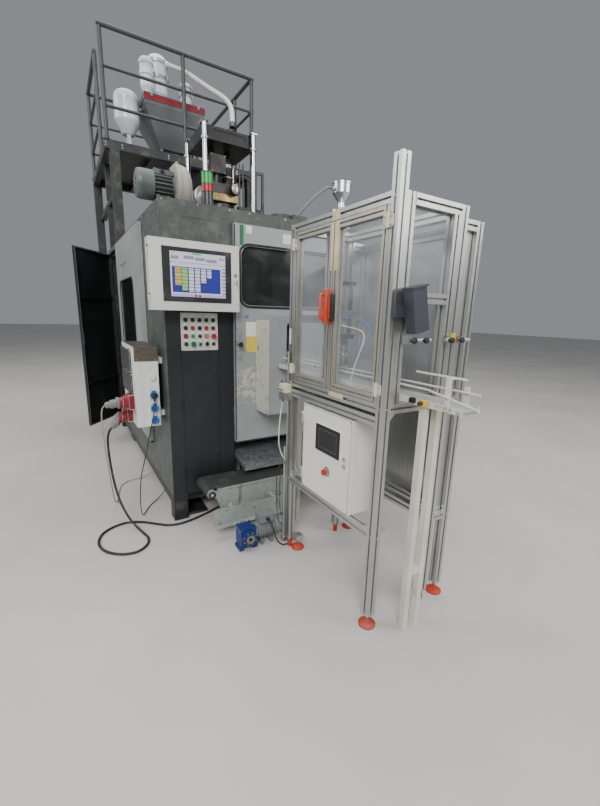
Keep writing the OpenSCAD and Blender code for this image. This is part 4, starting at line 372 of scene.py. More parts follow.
def paint(name, colour, rough=.42, cloud=.12, size=2.5, grime=.3, scuff=.3, peel=.12, coat=0.0, extra=None):
    # sprayed paint: slow clouds of tone, grime that gathers low and in patches, pale scuffs, orange peel
    f = Finish(name, Metallic=0.0)
    slow = f.noise(size, 4, .6)
    body = f.mix(slow.ramp(.3, .7), shade(colour, 1 - cloud), shade(colour, 1 + cloud))
    stain = f.noise(7, 5, .65, (1, 1, .45), (3, 1, 0)).ramp(.52, .78)
    low = 1 - f.xyz()[2].ramp(0, 1.2)
    dirt = (stain*grime*(.45 + low*.9)).ramp(0, 1)
    body = f.mix(dirt, body, shade(colour, .45) if sum(colour) > .25 else shade((.10, .09, .075), .9))
    marks = f.noise(38, 3, .6, (1, 1, .25), (0, 5, 2)).ramp(.66, .72)*f.noise(3.2, 2).ramp(.5, .68)*scuff
    body = f.mix(marks, body, shade(colour, 1.35) if sum(colour) > .5 else (.16, .16, .155))
    if extra:
        body = extra(f, body)
    f.set("Base Color", body)
    f.set("Roughness", (slow*.16 + dirt*.25 + (rough - .08)).maths("MINIMUM", .95))
    f.bump(f.noise(420, 2, .5) + marks*.6, .0004, peel)
    if coat:
        f.shader.inputs["Coat Weight"].default_value = coat
        f.shader.inputs["Coat Roughness"].default_value = .12
    return f.material


def bareMetal(name, colour, rough=.32, lines=(1, 1, .02), stain=.25, strength=.12, scale=260):
    # ground or drawn metal: fine lines along one axis, soft stains, small dents
    f = Finish(name, Metallic=.95)
    line = f.noise(scale, 2, .5, lines)
    cloud = f.noise(5, 4, .6)
    body = f.mix(line.ramp(.3, .7), shade(colour, .88), shade(colour, 1.1))
    dull = cloud.ramp(.45, .8)*stain
    body = f.mix(dull, body, shade(colour, .5))
    f.set("Base Color", body)
    f.set("Roughness", line*.14 + dull*.35 + (rough - .06))
    f.bump(line + cloud*.5, .0004, strength)
    return f.material


def zincSheet(name, colour, rough=.4):
    # hot-dip zinc: spangles of slightly different tone and gloss, white bloom, scratches
    f = Finish(name, Metallic=.85)
    spangle = f.cells(55)
    bloom = f.noise(6, 5, .65).ramp(.45, .8)
    scratch = f.noise(90, 2, .5, (.06, 1, 1)).ramp(.62, .7)
    body = f.mix(spangle, shade(colour, .82), shade(colour, 1.15))
    body = f.mix(bloom*.45, body, shade(colour, .6))
    body = f.mix(scratch*.35, body, shade(colour, 1.5))
    f.set("Base Color", body)
    f.set("Roughness", spangle*.18 + bloom*.2 + (rough - .08))
    f.bump(spangle*.3 + scratch, .0003, .18)
    return f.material


def mouldedPlastic(name, colour, rough=.38, grain=.12, wear=.2, extra=None, coat=0.0):
    # moulded plastic: fine grain, faint tone, dull dusty patches
    f = Finish(name, Metallic=0.0)
    dust = f.noise(9, 4, .6).ramp(.5, .8)*wear
    body = f.mix(f.noise(3, 2).ramp(.3, .7), shade(colour, .92), shade(colour, 1.08))
    body = f.mix(dust*.5, body, (.30, .29, .27))
    if extra:
        body = extra(f, body)
    f.set("Base Color", body)
    f.set("Roughness", dust*.35 + rough)
    f.bump(f.noise(700, 1, .5), .0002, grain)
    if coat:
        f.shader.inputs["Coat Weight"].default_value = coat
    return f.material


def castPaint(name, colour, rough=.45):
    # thick paint on a rough casting: pebbled surface, chips down to grey metal, oily dust
    f = Finish(name)
    pebble = f.noise(160, 3, .6)
    chip = f.noise(45, 4, .65).ramp(.70, .73)
    oil = f.noise(8, 4, .6).ramp(.45, .75)
    body = f.mix(oil*.55, shade(colour, 1.1), shade(colour, .5))
    body = f.mix(chip, body, (.30, .30, .29))
    f.set("Base Color", body)
    f.set("Metallic", chip*.7)
    f.set("Roughness", pebble*.15 + rough - oil*.15)
    f.bump(pebble - chip*.8, .0008, .3)
    return f.material


def rubberSkin(name, colour, rough=.7):
    # rubber or cord sheath: fine grain under pale dust
    f = Finish(name)
    dust = f.noise(14, 4, .65).ramp(.45, .8)
    f.set("Base Color", f.mix(dust*.5, colour, (.13, .12, .105)))
    f.set("Roughness", dust*.2 + rough)
    f.bump(f.noise(500, 2, .6), .0003, .2)
    return f.material


def clearPane(name, tint, alpha, rough=.04, smear=.12, haze=.5):
    # polycarbonate: mostly see-through, with wiped smears and dust that catch the light
    f = Finish(name, Metallic=0.0)
    wipe = f.noise(3.5, 5, .6, (1, 1, 2.2)).ramp(.42, .8)
    speck = f.noise(130, 2, .5).ramp(.68, .74)
    f.set("Base Color", f.mix(wipe*haze, tint, (.75, .76, .76)))
    f.set("Alpha", wipe*smear + speck*.12 + alpha)
    f.set("Roughness", wipe*.22 + rough)
    f.shader.inputs["Coat Weight"].default_value = .4
    return f.material


def lampLens(name, colour):
    # coloured lens with faint ribs
    f = Finish(name)
    ribs = f.noise(60, 1, .5)
    f.set("Base Color", f.mix(ribs.ramp(.3, .7), shade(colour, .8), colour))
    f.set("Roughness", ribs*.1 + .18)
    f.bump(ribs, .0003, .1)
    return f.material


# the colours that several finishes share
tone = {
    "fascia": srgb(68, 74, 70), "column": srgb(35, 37, 40), "frame": srgb(34, 35, 37),
    "terminal": srgb(206, 206, 203), "guard": srgb(148, 152, 152), "platform": srgb(40, 45, 44),
    "rail": srgb(66, 68, 67), "hopper": srgb(100, 103, 104), "loader": srgb(214, 218, 224),
    "drum": srgb(158, 155, 143), "motor": srgb(86, 94, 92), "blue": srgb(26, 44, 104), "slate": srgb(56, 59, 67),
}

# where marks, and the painted highlight on the guard's side box, lie on the painted parts, in metres
marks = {
    "label": ((-.42, -1.25, .84), (-.27, -1.17, 1.115)), "casing": ((-.28, -1.40, .74), (-.2595, -1.184, 1.52)),
    "grip": ((-.43, -1.25, 1.15), (-.37, -1.17, 1.40)), "foot": ((-.27, -1.39, .78), (.30, -1.17, 1.15)),
    "redLamp": (2.2665, 2.3135), "greenLamp": (2.3175, 2.379),
    "hopperFront": 1.0585, "hopperBand": (3.646, 3.728), "hopperEdge": (3.640, 3.650),
    "plugShell": -1.188, "plugRing": (-1.166, -1.160),
}


def mottle(f, body):
    # the fascia's cast-looking clouds: pale flecks and dark pits over two scales
    big, fine = f.noise(9, 6, .72), f.noise(34, 5, .7)
    body = f.mix(big.ramp(.40, .66)*.7, body, srgb(98, 104, 99))
    body = f.mix(fine.ramp(.5, .66)*.5, body, srgb(52, 57, 55))
    return f.mix(f.noise(15, 5, .7, (1, 1, 1), (4, 4, 4)).ramp(.6, .72)*.3, body, srgb(122, 127, 121))


def guardWearAndLight(f, body):
    # glue and chipped paint where plates were taken off, a painted highlight that turns the left face of the box on
    # the guard pale with dark chips on it, finger grime round the grip, scrapes at the foot
    label, casing, grip, foot = (f.field(*marks[k]) for k in ("label", "casing", "grip", "foot"))
    blot = f.noise(16, 4, .7, (1, 1, 1.4)).ramp(.46, .56)
    body = f.mix(label*blot*.8, body, srgb(198, 192, 172))
    body = f.mix(label*f.noise(60, 3, .6).ramp(.60, .66)*blot, body, srgb(60, 56, 46))
    # painted highlight: the left face of the box on the guard is turned pale as if lit from the left; the dark chips
    # over it are real marks
    body = f.mix(casing, body, srgb(198, 197, 184))
    body = f.mix(casing*f.noise(34, 4, .7, (1, 1, .5)).ramp(.60, .64)*.9, body, srgb(40, 38, 34))
    body = f.mix(grip*f.noise(20, 4).ramp(.42, .7)*.5, body, srgb(96, 96, 92))
    return f.mix(foot*f.noise(24, 4, .7, (1, 1, .35)).ramp(.60, .66)*.7, body, srgb(70, 68, 60))


def towerBands(f, body):
    # grey foot, red lamp, dark ring, green lamp, grey cap
    body = f.mix(f.inside(2, *marks["redLamp"]), body, srgb(150, 26, 32))
    return f.mix(f.inside(2, *marks["greenLamp"]), body, srgb(22, 150, 58))


def hopperBand(f, body):
    # red band with a pale lower edge on the hopper's front
    front = f.xyz()[1] < marks["hopperFront"]
    body = f.mix(f.inside(2, *marks["hopperBand"])*front, body, srgb(142, 36, 48))
    return f.mix(f.inside(2, *marks["hopperEdge"])*front*.8, body, srgb(180, 180, 176))


def plugParts(f, body):
    # grey back shell behind the red collar, with the lighter pin ring
    body = f.mix(f.xyz()[0] < marks["plugShell"], body, srgb(120, 122, 122))
    return f.mix(f.inside(0, *marks["plugRing"]), body, srgb(170, 168, 162))


def paleDust(f, body):
    # settled dust in soft patches
    return f.mix(f.noise(11, 5, .7).ramp(.48, .75)*.45, body, srgb(112, 106, 94))


def oilDrips(f, body):
    # dark runs, drawn out downwards
    run = f.noise(30, 4, .6, (1, 1, .12)).ramp(.56, .66)*f.noise(4, 2).ramp(.4, .7)
    return f.mix(run*.6, body, srgb(34, 32, 28))


# finishes that several pieces share
clearSmear = clearPane("clearSmear", (.70, .75, .80), .07, .04, .08, .3)
darkPane = clearPane("darkPane", (.018, .021, .019), .84, .06, .05, .035)
alloyBar = bareMetal("alloyBar", srgb(196, 197, 194), .34, (1, 1, .015), .22, .10)
alloyDoor = bareMetal("alloyDoor", srgb(200, 197, 186), .38, (1, 1, .015), .3, .10)
blackSeal = rubberSkin("blackSeal", (.012, .012, .013), .55)
boltSteel = bareMetal("boltSteel", (.50, .50, .49), .34, (1, 1, 1), .5, .2)
darkSteel = bareMetal("darkSteel", (.10, .10, .105), .4, (1, 1, 1), .4, .2)
brassPart = bareMetal("brassPart", (.44, .32, .13), .34, (1, 1, 1), .4, .15)
blackPlastic = mouldedPlastic("blackPlastic", srgb(28, 29, 31), .42, .15)
greyPlastic = mouldedPlastic("greyPlastic", srgb(126, 129, 130), .42)
whitePlastic = mouldedPlastic("whitePlastic", srgb(226, 226, 220), .36)
redPlastic = mouldedPlastic("redPlastic", srgb(164, 30, 30), .3, coat=.3)
greenPlastic = mouldedPlastic("greenPlastic", srgb(22, 104, 76), .3, coat=.3)
bluePlastic = mouldedPlastic("bluePlastic", srgb(40, 104, 190), .34, coat=.2)
yellowPlastic = mouldedPlastic("yellowPlastic", srgb(214, 178, 48), .4)
beigeBlock = castPaint("beigeBlock", srgb(196, 190, 164), .5)
amberLens = lampLens("amberLens", srgb(214, 132, 40))
paleTape = paint("paleTape", srgb(206, 190, 150), .6, .2, 8, .4, .1)
paperLabel = paint("paperLabel", srgb(222, 221, 212), .6, .08, 12, .35, .1)

# finish of each node of the record
nodeFinish = {
    "base_frame": paint("frameBlack", tone["frame"], .45, .2, 4, .6, .5, extra=paleDust),
    "cabinet_shell": paint("mottledSheet", tone["fascia"], .46, .16, 3, .4, .5, .25, extra=mottle),
    "roof_plate": paint("roofSheet", tone["fascia"], .5, .2, 3, .6, .3, extra=paleDust),
    "front_column": paint("columnBlack", tone["column"], .40, .16, 2, .35, .45, .2),
    "hmi_housing": paint("terminalGrey", tone["terminal"], .40, .05, 3, .25, .2, .15),
    "hmi_door": paint("terminalDoorGrey", tone["terminal"], .38, .05, 3, .3, .5, .15),
    "hmi_screen": mouldedPlastic("bezelBlack", srgb(40, 41, 43), .36, .2, .35),
    "button_plate": paint("plateGrey", srgb(190, 189, 184), .45, .08, 12, .5, .3, .15),
    "emergency_stop": redPlastic, "start_button": greenPlastic,
    "selector_switch": mouldedPlastic("selectorBlack", srgb(34, 35, 37), .32),
    "guard_door": paint("guardGrey", tone["guard"], .40, .07, 2.2, .5, .5, .18, extra=guardWearAndLight),
    "guard_window": darkPane,
    "side_guard": paint("sideGuardGrey", srgb(150, 155, 153), .42, .08, 2.2, .6, .5, .18, extra=paleDust),
    "side_window": darkPane,
    "rear_door": paint("rearDoorBlack", srgb(34, 35, 37), .42, .2, 3, .5, .4),
    "clamp_frame": paint("clampGreen", srgb(96, 103, 102), .45, .12, 4, .7, .4, extra=oilDrips),
    "clamp_carriage": paint("carriageGreen", srgb(112, 119, 116), .45, .12, 4, .6, .4, extra=oilDrips),
    "mould_left": bareMetal("mouldAlloy", (.66, .67, .68), .3, (1, .03, 1), .3, .15),
    "blow_pin": bareMetal("pinGround", (.72, .72, .73), .18, (1, 1, .05), .15, .05),
    "die_head": bareMetal("headSteel", (.085, .08, .075), .44, (1, 1, .3), .6, .25, 90),
    "extruder": bareMetal("barrelCover", (.55, .55, .53), .36, (1, .05, 1), .35, .15, 120),
    "extruder_drive": castPaint("driveGrey", srgb(72, 78, 82), .48),
    "head_bridge": paint("bridgeBlack", srgb(20, 20, 21), .42, .3, 4, .5, .4, extra=paleDust),
    "lift_columns": bareMetal("columnChrome", (.46, .47, .48), .09, (1, 1, .1), .12, .03),
    "service_platform": paint("platformGreen", tone["platform"], .5, .16, 3, .5, .5, .2, extra=paleDust),
    "handrail": paint("railGrey", tone["rail"], .42, .12, 5, .3, .5, .15),
    "dosing_hopper": paint("hopperGrey", tone["hopper"], .38, .12, 3, .4, .3, .12, extra=hopperBand),
    "vacuum_loaders": paint("loaderWhite", tone["loader"], .28, .05, 5, .35, .3, .05, .4),
    "blower_housing": castPaint("drumBeige", tone["drum"], .45),
    "blower_motor": castPaint("motorGreen", tone["motor"], .45),
    "signal_tower": mouldedPlastic("towerPlastic", srgb(52, 54, 56), .3, .1, .3, towerBands, .3),
    "receiver_funnel": bareMetal("funnelAlloy", (.70, .71, .73), .26, (1, 1, .05), .3, .1),
    "flash_chute": zincSheet("zincTray", srgb(172, 176, 178), .36),
    "scrap_conveyor": paint("conveyorGreen", srgb(146, 153, 148), .42, .10, 4, .8, .6, .2, extra=oilDrips),
    "scrap_belt": rubberSkin("beltBlack", srgb(52, 56, 54), .6),
    "drive_gearbox": castPaint("gearBlue", tone["blue"], .4),
    "drive_motor": castPaint("motorSilver", srgb(112, 116, 116), .44),
    "socket_box": mouldedPlastic("socketWhite", srgb(226, 227, 224), .34, .06, .4),
    "power_plugs": mouldedPlastic("plugRed", srgb(146, 28, 36), .34, .1, .3, plugParts, .2),
    "test_frame": alloyBar, "test_door_far": alloyDoor, "frame_panes": clearSmear, "door_pane_far": clearSmear,
    "level_feet": mouldedPlastic("feetRed", srgb(178, 56, 34), .42, .2, .5),
    "control_box": paint("boxCream", srgb(214, 213, 206), .42, .05, 4, .5, .3, .2),
    "control_door": paint("boxDoorCream", srgb(224, 223, 216), .40, .05, 4, .5, .5, .2),
    "control_stop": mouldedPlastic("stopOrange", srgb(176, 50, 30), .3, .05, .2),
    "test_fixture": bareMetal("fixtureAlloy", (.52, .53, .54), .34, (1, 1, .04), .35, .12),
    "test_head": bareMetal("headDark", (.12, .125, .13), .35, (1, 1, 1), .3, .1),
    "sensor_box": paint("slateBox", tone["slate"], .42, .08, 8, .4, .3, .15),
    "outfeed_conveyor": paint("outfeedCream", srgb(206, 203, 190), .4, .08, 6, .6, .4, .12),
    "outfeed_belt": mouldedPlastic("linkGrey", srgb(150, 153, 153), .4, .2, .4),
}
# nodes that take another node's finish
sameAs = {"mould_right": "mould_left", "test_door_near": "test_door_far", "door_pane_near": "door_pane_far"}
for name, thing in nodes.items():
    finish = nodeFinish.get(sameAs.get(name, name))
    if finish:
        thing.data.materials.clear()
        thing.data.materials.append(finish)
print("finishes made,", len(nodeFinish))

# hoses and cords, on the routes that the solids take, in millimetres
hoses = {
    "materialHose": {"node": "material_hose", "slot": "hose_white", "diameter": 46, "rib": 11, "points": [
        (-199.6, 1199.7, 4113.8), (-168, 1172.6, 4098.1), (-132.5, 1142.2, 4080.4), (-90, 1090, 4050),
        (-31, 980, 3975), (30, 840, 3870), (86, 690, 3762), (122, 540, 3664), (138, 400, 3570),
        (130, 270, 3470), (106, 160, 3375), (69.65, 58.2, 3264.6), (55, 20.6, 3220.2), (45.2, -4.5, 3190.6)]},
    "receiverHose": {"node": "receiver_hose", "slot": "hose_grey", "diameter": 22, "rib": 7, "points": [
        (570.2, -888, 2540), (550, -888, 2540), (520, -888, 2533), (470, -888, 2500), (410, -888, 2452),
        (350, -888, 2396), (290, -888, 2334), (240, -888, 2276), (222, -888, 2255), (211, -888, 2239),
        (203.5, -888, 2218), (200.4, -888, 2201), (200, -888, 2192.8)]},
}
hoseFinish = {
    "materialHose": mouldedPlastic("hoseWhite", srgb(200, 200, 192), .34, .05),
    "receiverHose": rubberSkin("hoseGrey", srgb(116, 118, 118), .5),
}
floorCord = {"diameter": 16, "step": 6, "points": [
    (-1235.1, -840, 676.1), (-1252, -842, 653), (-1266, -846, 610), (-1270, -858, 540), (-1268, -880, 450),
    (-1262, -912, 350), (-1250, -955, 250), (-1230, -1005, 160), (-1200, -1065, 85), (-1165, -1130, 36),
    (-1130, -1210, 12), (-1110, -1290, 9), (-1130, -1370, 9), (-1200, -1420, 9), (-1290, -1400, 9),
    (-1370, -1320, 9), (-1400, -1210, 9), (-1370, -1100, 9), (-1290, -1035, 9), (-1200, -1020, 9),
    (-1110, -1060, 9), (-1030, -1130, 9), (-960, -1190, 9), (-880, -1212, 9), (-790, -1200, 9),
    (-700, -1170, 9), (-600, -1130, 9), (-500, -1080, 9)]}


def makeHose(name, h, finish):
    # the tube's radius swells once to each rib along its length
    path, s = evenPath(h["points"], h["rib"]/4)
    r = h["diameter"]/2*(1 - .035*(1 - np.cos(2*np.pi*s/h["rib"])))
    thing = makePiece(name, Shell().add(tube(path, r, 18)), [finish], "machine", 80)
    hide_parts(h["node"])


def makeFloorCord(c):
    # an even tube along the loop that lies on the floor
    path, _ = evenPath(c["points"], c["step"])
    thing = makePiece("floorCord", Shell().add(tube(path, c["diameter"]/2, 12)),
                      [rubberSkin("cordBlack", srgb(30, 30, 31), .55)], "machine", 80)
    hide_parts("floor_cord")


for name, hose in hoses.items():
    makeHose(name, hose, hoseFinish[name])
makeFloorCord(floorCord)
print("hoses and cords made")

# floor, sky and soft lights; each light has its place, aim, size and watts
hall = {
    "floor": 40, "drop": .0005, "grey": (.50, .48, .45), "paleGrey": (.56, .54, .51),
    "sky": (.80, .84, .90), "skyStrength": .32,
    "lights": [((-5, -8, 6.5), (0, -1, 1.2), 4, 780), ((4.5, -7, 5), (0, -1, 1.5), 4, 250),
               ((0, 0, 9), (0, 0, 0), 8, 560), ((-7, 3, 6), (0, 1, 2), 4, 240)],
}


def stageAndLights(h):
    # a flat floor, a plain sky and square lights, each with its back axis from its aim to its place
    e = h["floor"]
    floor = bpy.data.meshes.new("floor")
    floor.from_pydata([(-e, -e, 0), (e, -e, 0), (e, e, 0), (-e, e, 0)], [], [(0, 1, 2, 3)])
    thing = bpy.data.objects.new("floor", floor)
    thing.location.z = -h["drop"]
    bpy.context.scene.collection.objects.link(thing)
    f = Finish("paleFloor", Roughness=.75)
    f.set("Base Color", f.mix(f.noise(.8, 3).ramp(.3, .7), h["grey"], h["paleGrey"]))
    floor.materials.append(f.material)
    world = bpy.data.worlds.new("hall")
    bpy.context.scene.world = world
    world.use_nodes = True
    world.node_tree.nodes["Background"].inputs[0].default_value = (*h["sky"], 1)
    world.node_tree.nodes["Background"].inputs[1].default_value = h["skyStrength"]
    for k, (place, aim, size, watts) in enumerate(h["lights"]):
        light = bpy.data.lights.new(f"soft{k}", "AREA")
        light.size, light.energy = size, watts
        lamp = bpy.data.objects.new(f"soft{k}", light)
        bpy.context.scene.collection.objects.link(lamp)
        z = np.array(place, float) - np.array(aim, float)
        z /= np.linalg.norm(z)
        x = np.cross((0, 1, .01), z)
        x /= np.linalg.norm(x)
        m = np.eye(4)
        m[:3, 0], m[:3, 1], m[:3, 2], m[:3, 3] = x, np.cross(z, x), z, place
        lamp.matrix_world = Matrix(m.tolist())


stageAndLights(hall)
print("floor and lights made")


# profiles of radius and height, for turned
def rod(r, h):
    # a plain round bar
    return [(0, 0), (r, 0), (r, h), (0, h)]


def band(inner, outer, h):
    # a flat ring, for ringOf
    return [(inner, 0), (outer, 0), (outer, h), (inner, h)]


def gland(r, foot, h, step=2):
    # a foot of radius r with a neck on it that is narrower by the step
    return [(0, 0), (r, 0), (r, foot), (r - step, foot + 2), (r - step, h), (0, h)]


def ringOf(profile, at=(0, 0, 0), axis=2, n=28):
    # a closed profile, listed anticlockwise, turned about an axis
    p = np.asarray([*profile, profile[0]], float)
    pts, _ = turned(p, at, axis, n)
    return pts, [gridFaces(len(p), n)]


def boss(profile, at, axis, n):
    # a turned profile that points down its axis, so out of a face seen from the front or from the left
    return moved(flipped(turned(profile, axis=axis, n=n), axis, -1), at)


# places
def grid3(xs, ys, zs):
    # every combination of three places or lists of places
    return np.stack(np.meshgrid(xs, ys, zs, indexing="ij"), -1).reshape(-1, 3)


def circle(centre, radius, degrees, axis=2):
    # places round an axis through the centre: of the other two axes, the first takes the cosine, the second the sine
    a = np.radians(degrees)
    first, second = (k for k in range(3) if k != axis)
    p = np.tile(np.asarray(centre, float), (len(a), 1))
    p[:, first] += radius*np.cos(a)
    p[:, second] += radius*np.sin(a)
    return p


# small repeated things
def screws(places, axis, size, out=1, kind=hexHead):
    # the same screw at each place
    return [many(part, places) for part in kind((0, 0, 0), axis, size, out)]


def fasten(shell, tag, rows, kind=capScrew):
    # each row: places in x, y and z, the screws' axis and size, and 1 or -1 for the way that they point
    for xs, ys, zs, axis, size, out in rows:
        shell.add(screws(grid3(xs, ys, zs), axis, size, out, kind), tag)


def blocks(shell, rows):
    # each row: two corners, bevel, axis that it is drawn along, corner radius, points to a quarter circle, finish
    for lo, hi, bevel, axis, radius, n, tag in rows:
        shell.add(block(lo, hi, bevel, axis, radius, n), tag)


def onPlane(outline, axis, depth, centre=(0, 0)):
    # flat points, in the order of the two other axes, set on the plane axis = depth
    p = np.empty((len(outline), 3))
    p[:, [(axis + 1) % 3, (axis + 2) % 3, axis]] = np.column_stack([np.asarray(outline) + centre,
                                                                   np.full(len(outline), depth)])
    return p


def frameTube(w, h, r, axis, depth, centre, radius):
    # a round bead that follows a rounded rectangle on a plane
    o = roundRect(w, h, r, 6)
    return tube(onPlane(np.concatenate([o, o[:1]]), axis, depth, centre), radius, 8)


def bowHandle(a, b, reach, radius=6):
    # a bow that leaves the sheet at a, runs parallel to it and comes back at b
    a, b, reach = (np.asarray(v, float) for v in (a, b, reach))
    run = (b - a)*.12
    return tube(smoothPath([a, a + reach*.75, a + reach + run, (a + b)/2 + reach, b + reach - run, b + reach*.75, b],
                           4), radius, 10)


def shares(f, axis, start, end, low, high):
    # how far a point lies from start to end on an axis, and from high down to low, as shares of the whole
    across, up = f.xyz()[axis], f.xyz()[2]
    return (across - start/1000)*(1000/(end - start)), (high/1000 - up)*(1000/(high - low))


# operator terminal: its picture is fields of colour, in shares of its width and height from the upper left
picture = {
    "left": -880, "right": -526, "low": 1589, "high": 1857, "back": -1269.4, "glow": 1.05,
    "ground": (224, 224, 240), "orange": (236, 170, 84), "lines": (60, 62, 120), "keys": (96, 98, 130),
    "fields": [
        (.03, .90, .33, .90, (46, 52, 152)), (.03, .10, .015, .06, (226, 214, 90)),
        (.38, .56, .01, .05, (120, 200, 110)), (.02, .15, .10, .17, (150, 150, 168)),
        (.24, .42, .08, .15, (150, 150, 168)), (.44, .62, .10, .17, (150, 150, 168)),
        (.64, .84, .12, .19, (150, 150, 168)), (.88, .98, .06, .13, (176, 176, 194)),
        (0, 1, .235, .245, (120, 120, 144)), (.08, .19, .35, .74, (188, 214, 92)),
        (.20, .30, .35, .86, (160, 214, 110)), (.32, .41, .35, .88, (236, 226, 232)),
        (.43, .52, .35, .88, (228, 222, 232)), (.54, .63, .35, .66, (236, 226, 236)),
        (.65, .73, .35, .55, (228, 224, 236)), (0, 1, .93, 1, (196, 184, 224)),
        (.42, .46, .945, .985, (40, 40, 48)), (.49, .53, .945, .985, (40, 40, 48)),
    ],
    "caps": [((-994, -440), -1268, (1556, 1872), 1, 4, -1)],
    "lock": (-457, -1268, 1740), "keyRing": (-457.7, -1300, 1695), "catches": (1570, 1845),
}


def pictureFinish(p):
    # comparisons of the shares give masks of 0 and 1, and each mask lays a flat colour over the last
    f = Finish("pictureGlow", Metallic=0.0, Roughness=.22)
    u, v = shares(f, 0, p["left"], p["right"], p["low"], p["high"])

    def area(u0, u1, v0, v1):
        return (u > u0)*(u < u1)*(v > v0)*(v < v1)

    colour = srgb(*p["ground"])
    for *sides, c in p["fields"]:
        colour = f.mix(area(*sides), colour, srgb(*c))
    # striped cells in the first column, lines through the table, keys down the right edge
    colour = f.mix(area(.08, .19, .34, .74)*((v*6.5).maths("FRACT") > .5), colour, srgb(*p["orange"]))
    colour = f.mix(area(.04, .74, .34, .89)*((v*13).maths("FRACT") < .2)*.8, colour, srgb(*p["lines"]))
    colour = f.mix(area(.93, 1, .30, .92)*((v*12).maths("FRACT") > .45)*.7, colour, srgb(*p["keys"]))
    f.set("Base Color", (.01, .01, .012))
    f.set("Emission Color", colour)
    f.shader.inputs["Emission Strength"].default_value = p["glow"]
    return f.material


def makeTerminal(p):
    # the lit picture lies in the bezel's recess; a key stands in the door's lock
    lit = Shell().add(block((p["left"] + 1, p["back"] - .9, p["low"] + 1), (p["right"] - 1, p["back"], p["high"] - 1),
                            .2, 1))
    makePiece("displayPicture", lit, [pictureFinish(p)], "hmi_door")
    s = Shell()
    s.add(frameTube(p["high"] - p["low"], p["right"] - p["left"], 3, 1, p["back"] - 1.2,
                    ((p["low"] + p["high"])/2, (p["left"] + p["right"])/2), 1.2), 1)
    fasten(s, 0, p["caps"])
    s.add(boss([(0, 0), (13, 0), (13, 3), (11, 4.5), (0, 4.5)], p["lock"], 1, 24), 0)
    s.add(drawn(roundRect(22, 18, 8, 5) + (-1296, 1701), 0, -458.4, -455.6), 0)
    s.add(ringOf(band(6, 7.4, 1.4), p["keyRing"], 0, 20), 0)
    for z in p["catches"]:
        s.add(block((-1006, -1262, z), (-1001.2, -1240, z + 34), 1.2), 1)
    makePiece("terminalFittings", s, [boltSteel, blackPlastic], "hmi_door")


makeTerminal(picture)

# push buttons: cap finish by row from the top, "" where a control of its own sits
buttons = {
    "x": -672.5, "z": 1365, "face": -1153, "pitch": 47.3, "row": 53.5, "bigger": 1.14, "turn": 35,
    "caps": [["black", "black", "black", "black", "black"], ["black", "red", "black", "red", "wine"],
             ["redBig", "green", "black", "amber", ""], ["darkGreen", "", "selector", "", "black"]],
    "silver": [(2, 2), (3, 2), (3, 4), (2, 1)],
    "collar": [(0, 0), (14.5, 0), (14.5, 3.2), (13.6, 4.6), (11.8, 4.9), (11.2, 3.7), (0, 3.7)],
    "cap": [(0, 3.4), (10.8, 3.4), (10.8, 9.8), (10, 11.3), (8.4, 11.8), (5, 11.3), (0, 11)],
    "tags": {"black": 0, "red": 1, "wine": 2, "redBig": 1, "green": 3, "amber": 4, "darkGreen": 5, "selector": 6},
    "screws": [((-792, -553), -1153, (1250, 1484), 1, 3.2, -1)],
}


def makeButtons(b):
    # each button: a collar with a rounded lip and a dished cap, both turned and then faced to the operator
    collar, cap = turned(b["collar"], axis=1, n=28), turned(b["cap"], axis=1, n=24)
    knob = block((-4, 11, -14), (4, 20, 12), 2, 1, 3)
    s, legends = Shell(), Shell()
    for row, names in enumerate(b["caps"]):
        for col, name in enumerate(names):
            x, y, z = b["x"] + (col - 2)*b["pitch"], b["face"], b["z"] + (1.5 - row)*b["row"]
            legends.add(block((x - 15, y - .7, z + 19.5), (x + 15, y - .1, z + 29), .2, 1, 1.2), 0)
            if not name:
                continue
            k = b["bigger"] if name == "redBig" else 1
            for shape, tag in ((collar, 6 if (row, col) in b["silver"] else 0), (cap, b["tags"][name])):
                pts, faces = flipped(shape, 1, -1)
                s.add(moved((pts*(k, 1, k), faces), (x, y, z)), tag)
            if name == "selector":
                s.add(moved(spun(flipped(knob, 1, -1), b["turn"], 1), (x, y, z)), 0)
    thing = makePiece("pushButtons", s, [
        blackPlastic, redPlastic, mouldedPlastic("winePlastic", srgb(112, 26, 28), .32),
        mouldedPlastic("leafPlastic", srgb(34, 132, 78), .3), amberLens,
        mouldedPlastic("pinePlastic", srgb(24, 62, 46), .3), boltSteel], "machine")
    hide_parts("push_buttons")
    fasten(legends, 1, b["screws"])
    makePiece("buttonLegends", legends, [paperLabel, boltSteel], "machine")


makeButtons(buttons)
print("terminal and buttons made")

# front guard: plain fields where its papers were, bead round the window with a thin pale bead inside it as painted
# highlight, closing strip, grip's cap, screws
guard = {
    "face": -1182, "window": (412, 804, 70), "middle": (1752, 15), "grip": (-405, 1283),
    "papers": [  # left, right, low, high, finish
        (-344, -265, 1335, 1439, 0), (-344, -265, 1223, 1335, 1), (-388, -358, 1951, 2082, 2),
        (-341, -296, 2032, 2082, 0), (-53, 32, 1997, 2061, 0), (-349, -322, 1462, 1486, 3)],
    "caps": [((-250, -10, 280), -1382, 800, 1, 3.6, -1), (-265, (-1215, -1290, -1365), (810, 1120, 1400), 0, 3.4, -1),
             ((-400, -300, 320, 470), -1182, 566, 1, 3.6, -1), ((120, 300, 470), -1182, 2074, 1, 3.6, -1)],
}


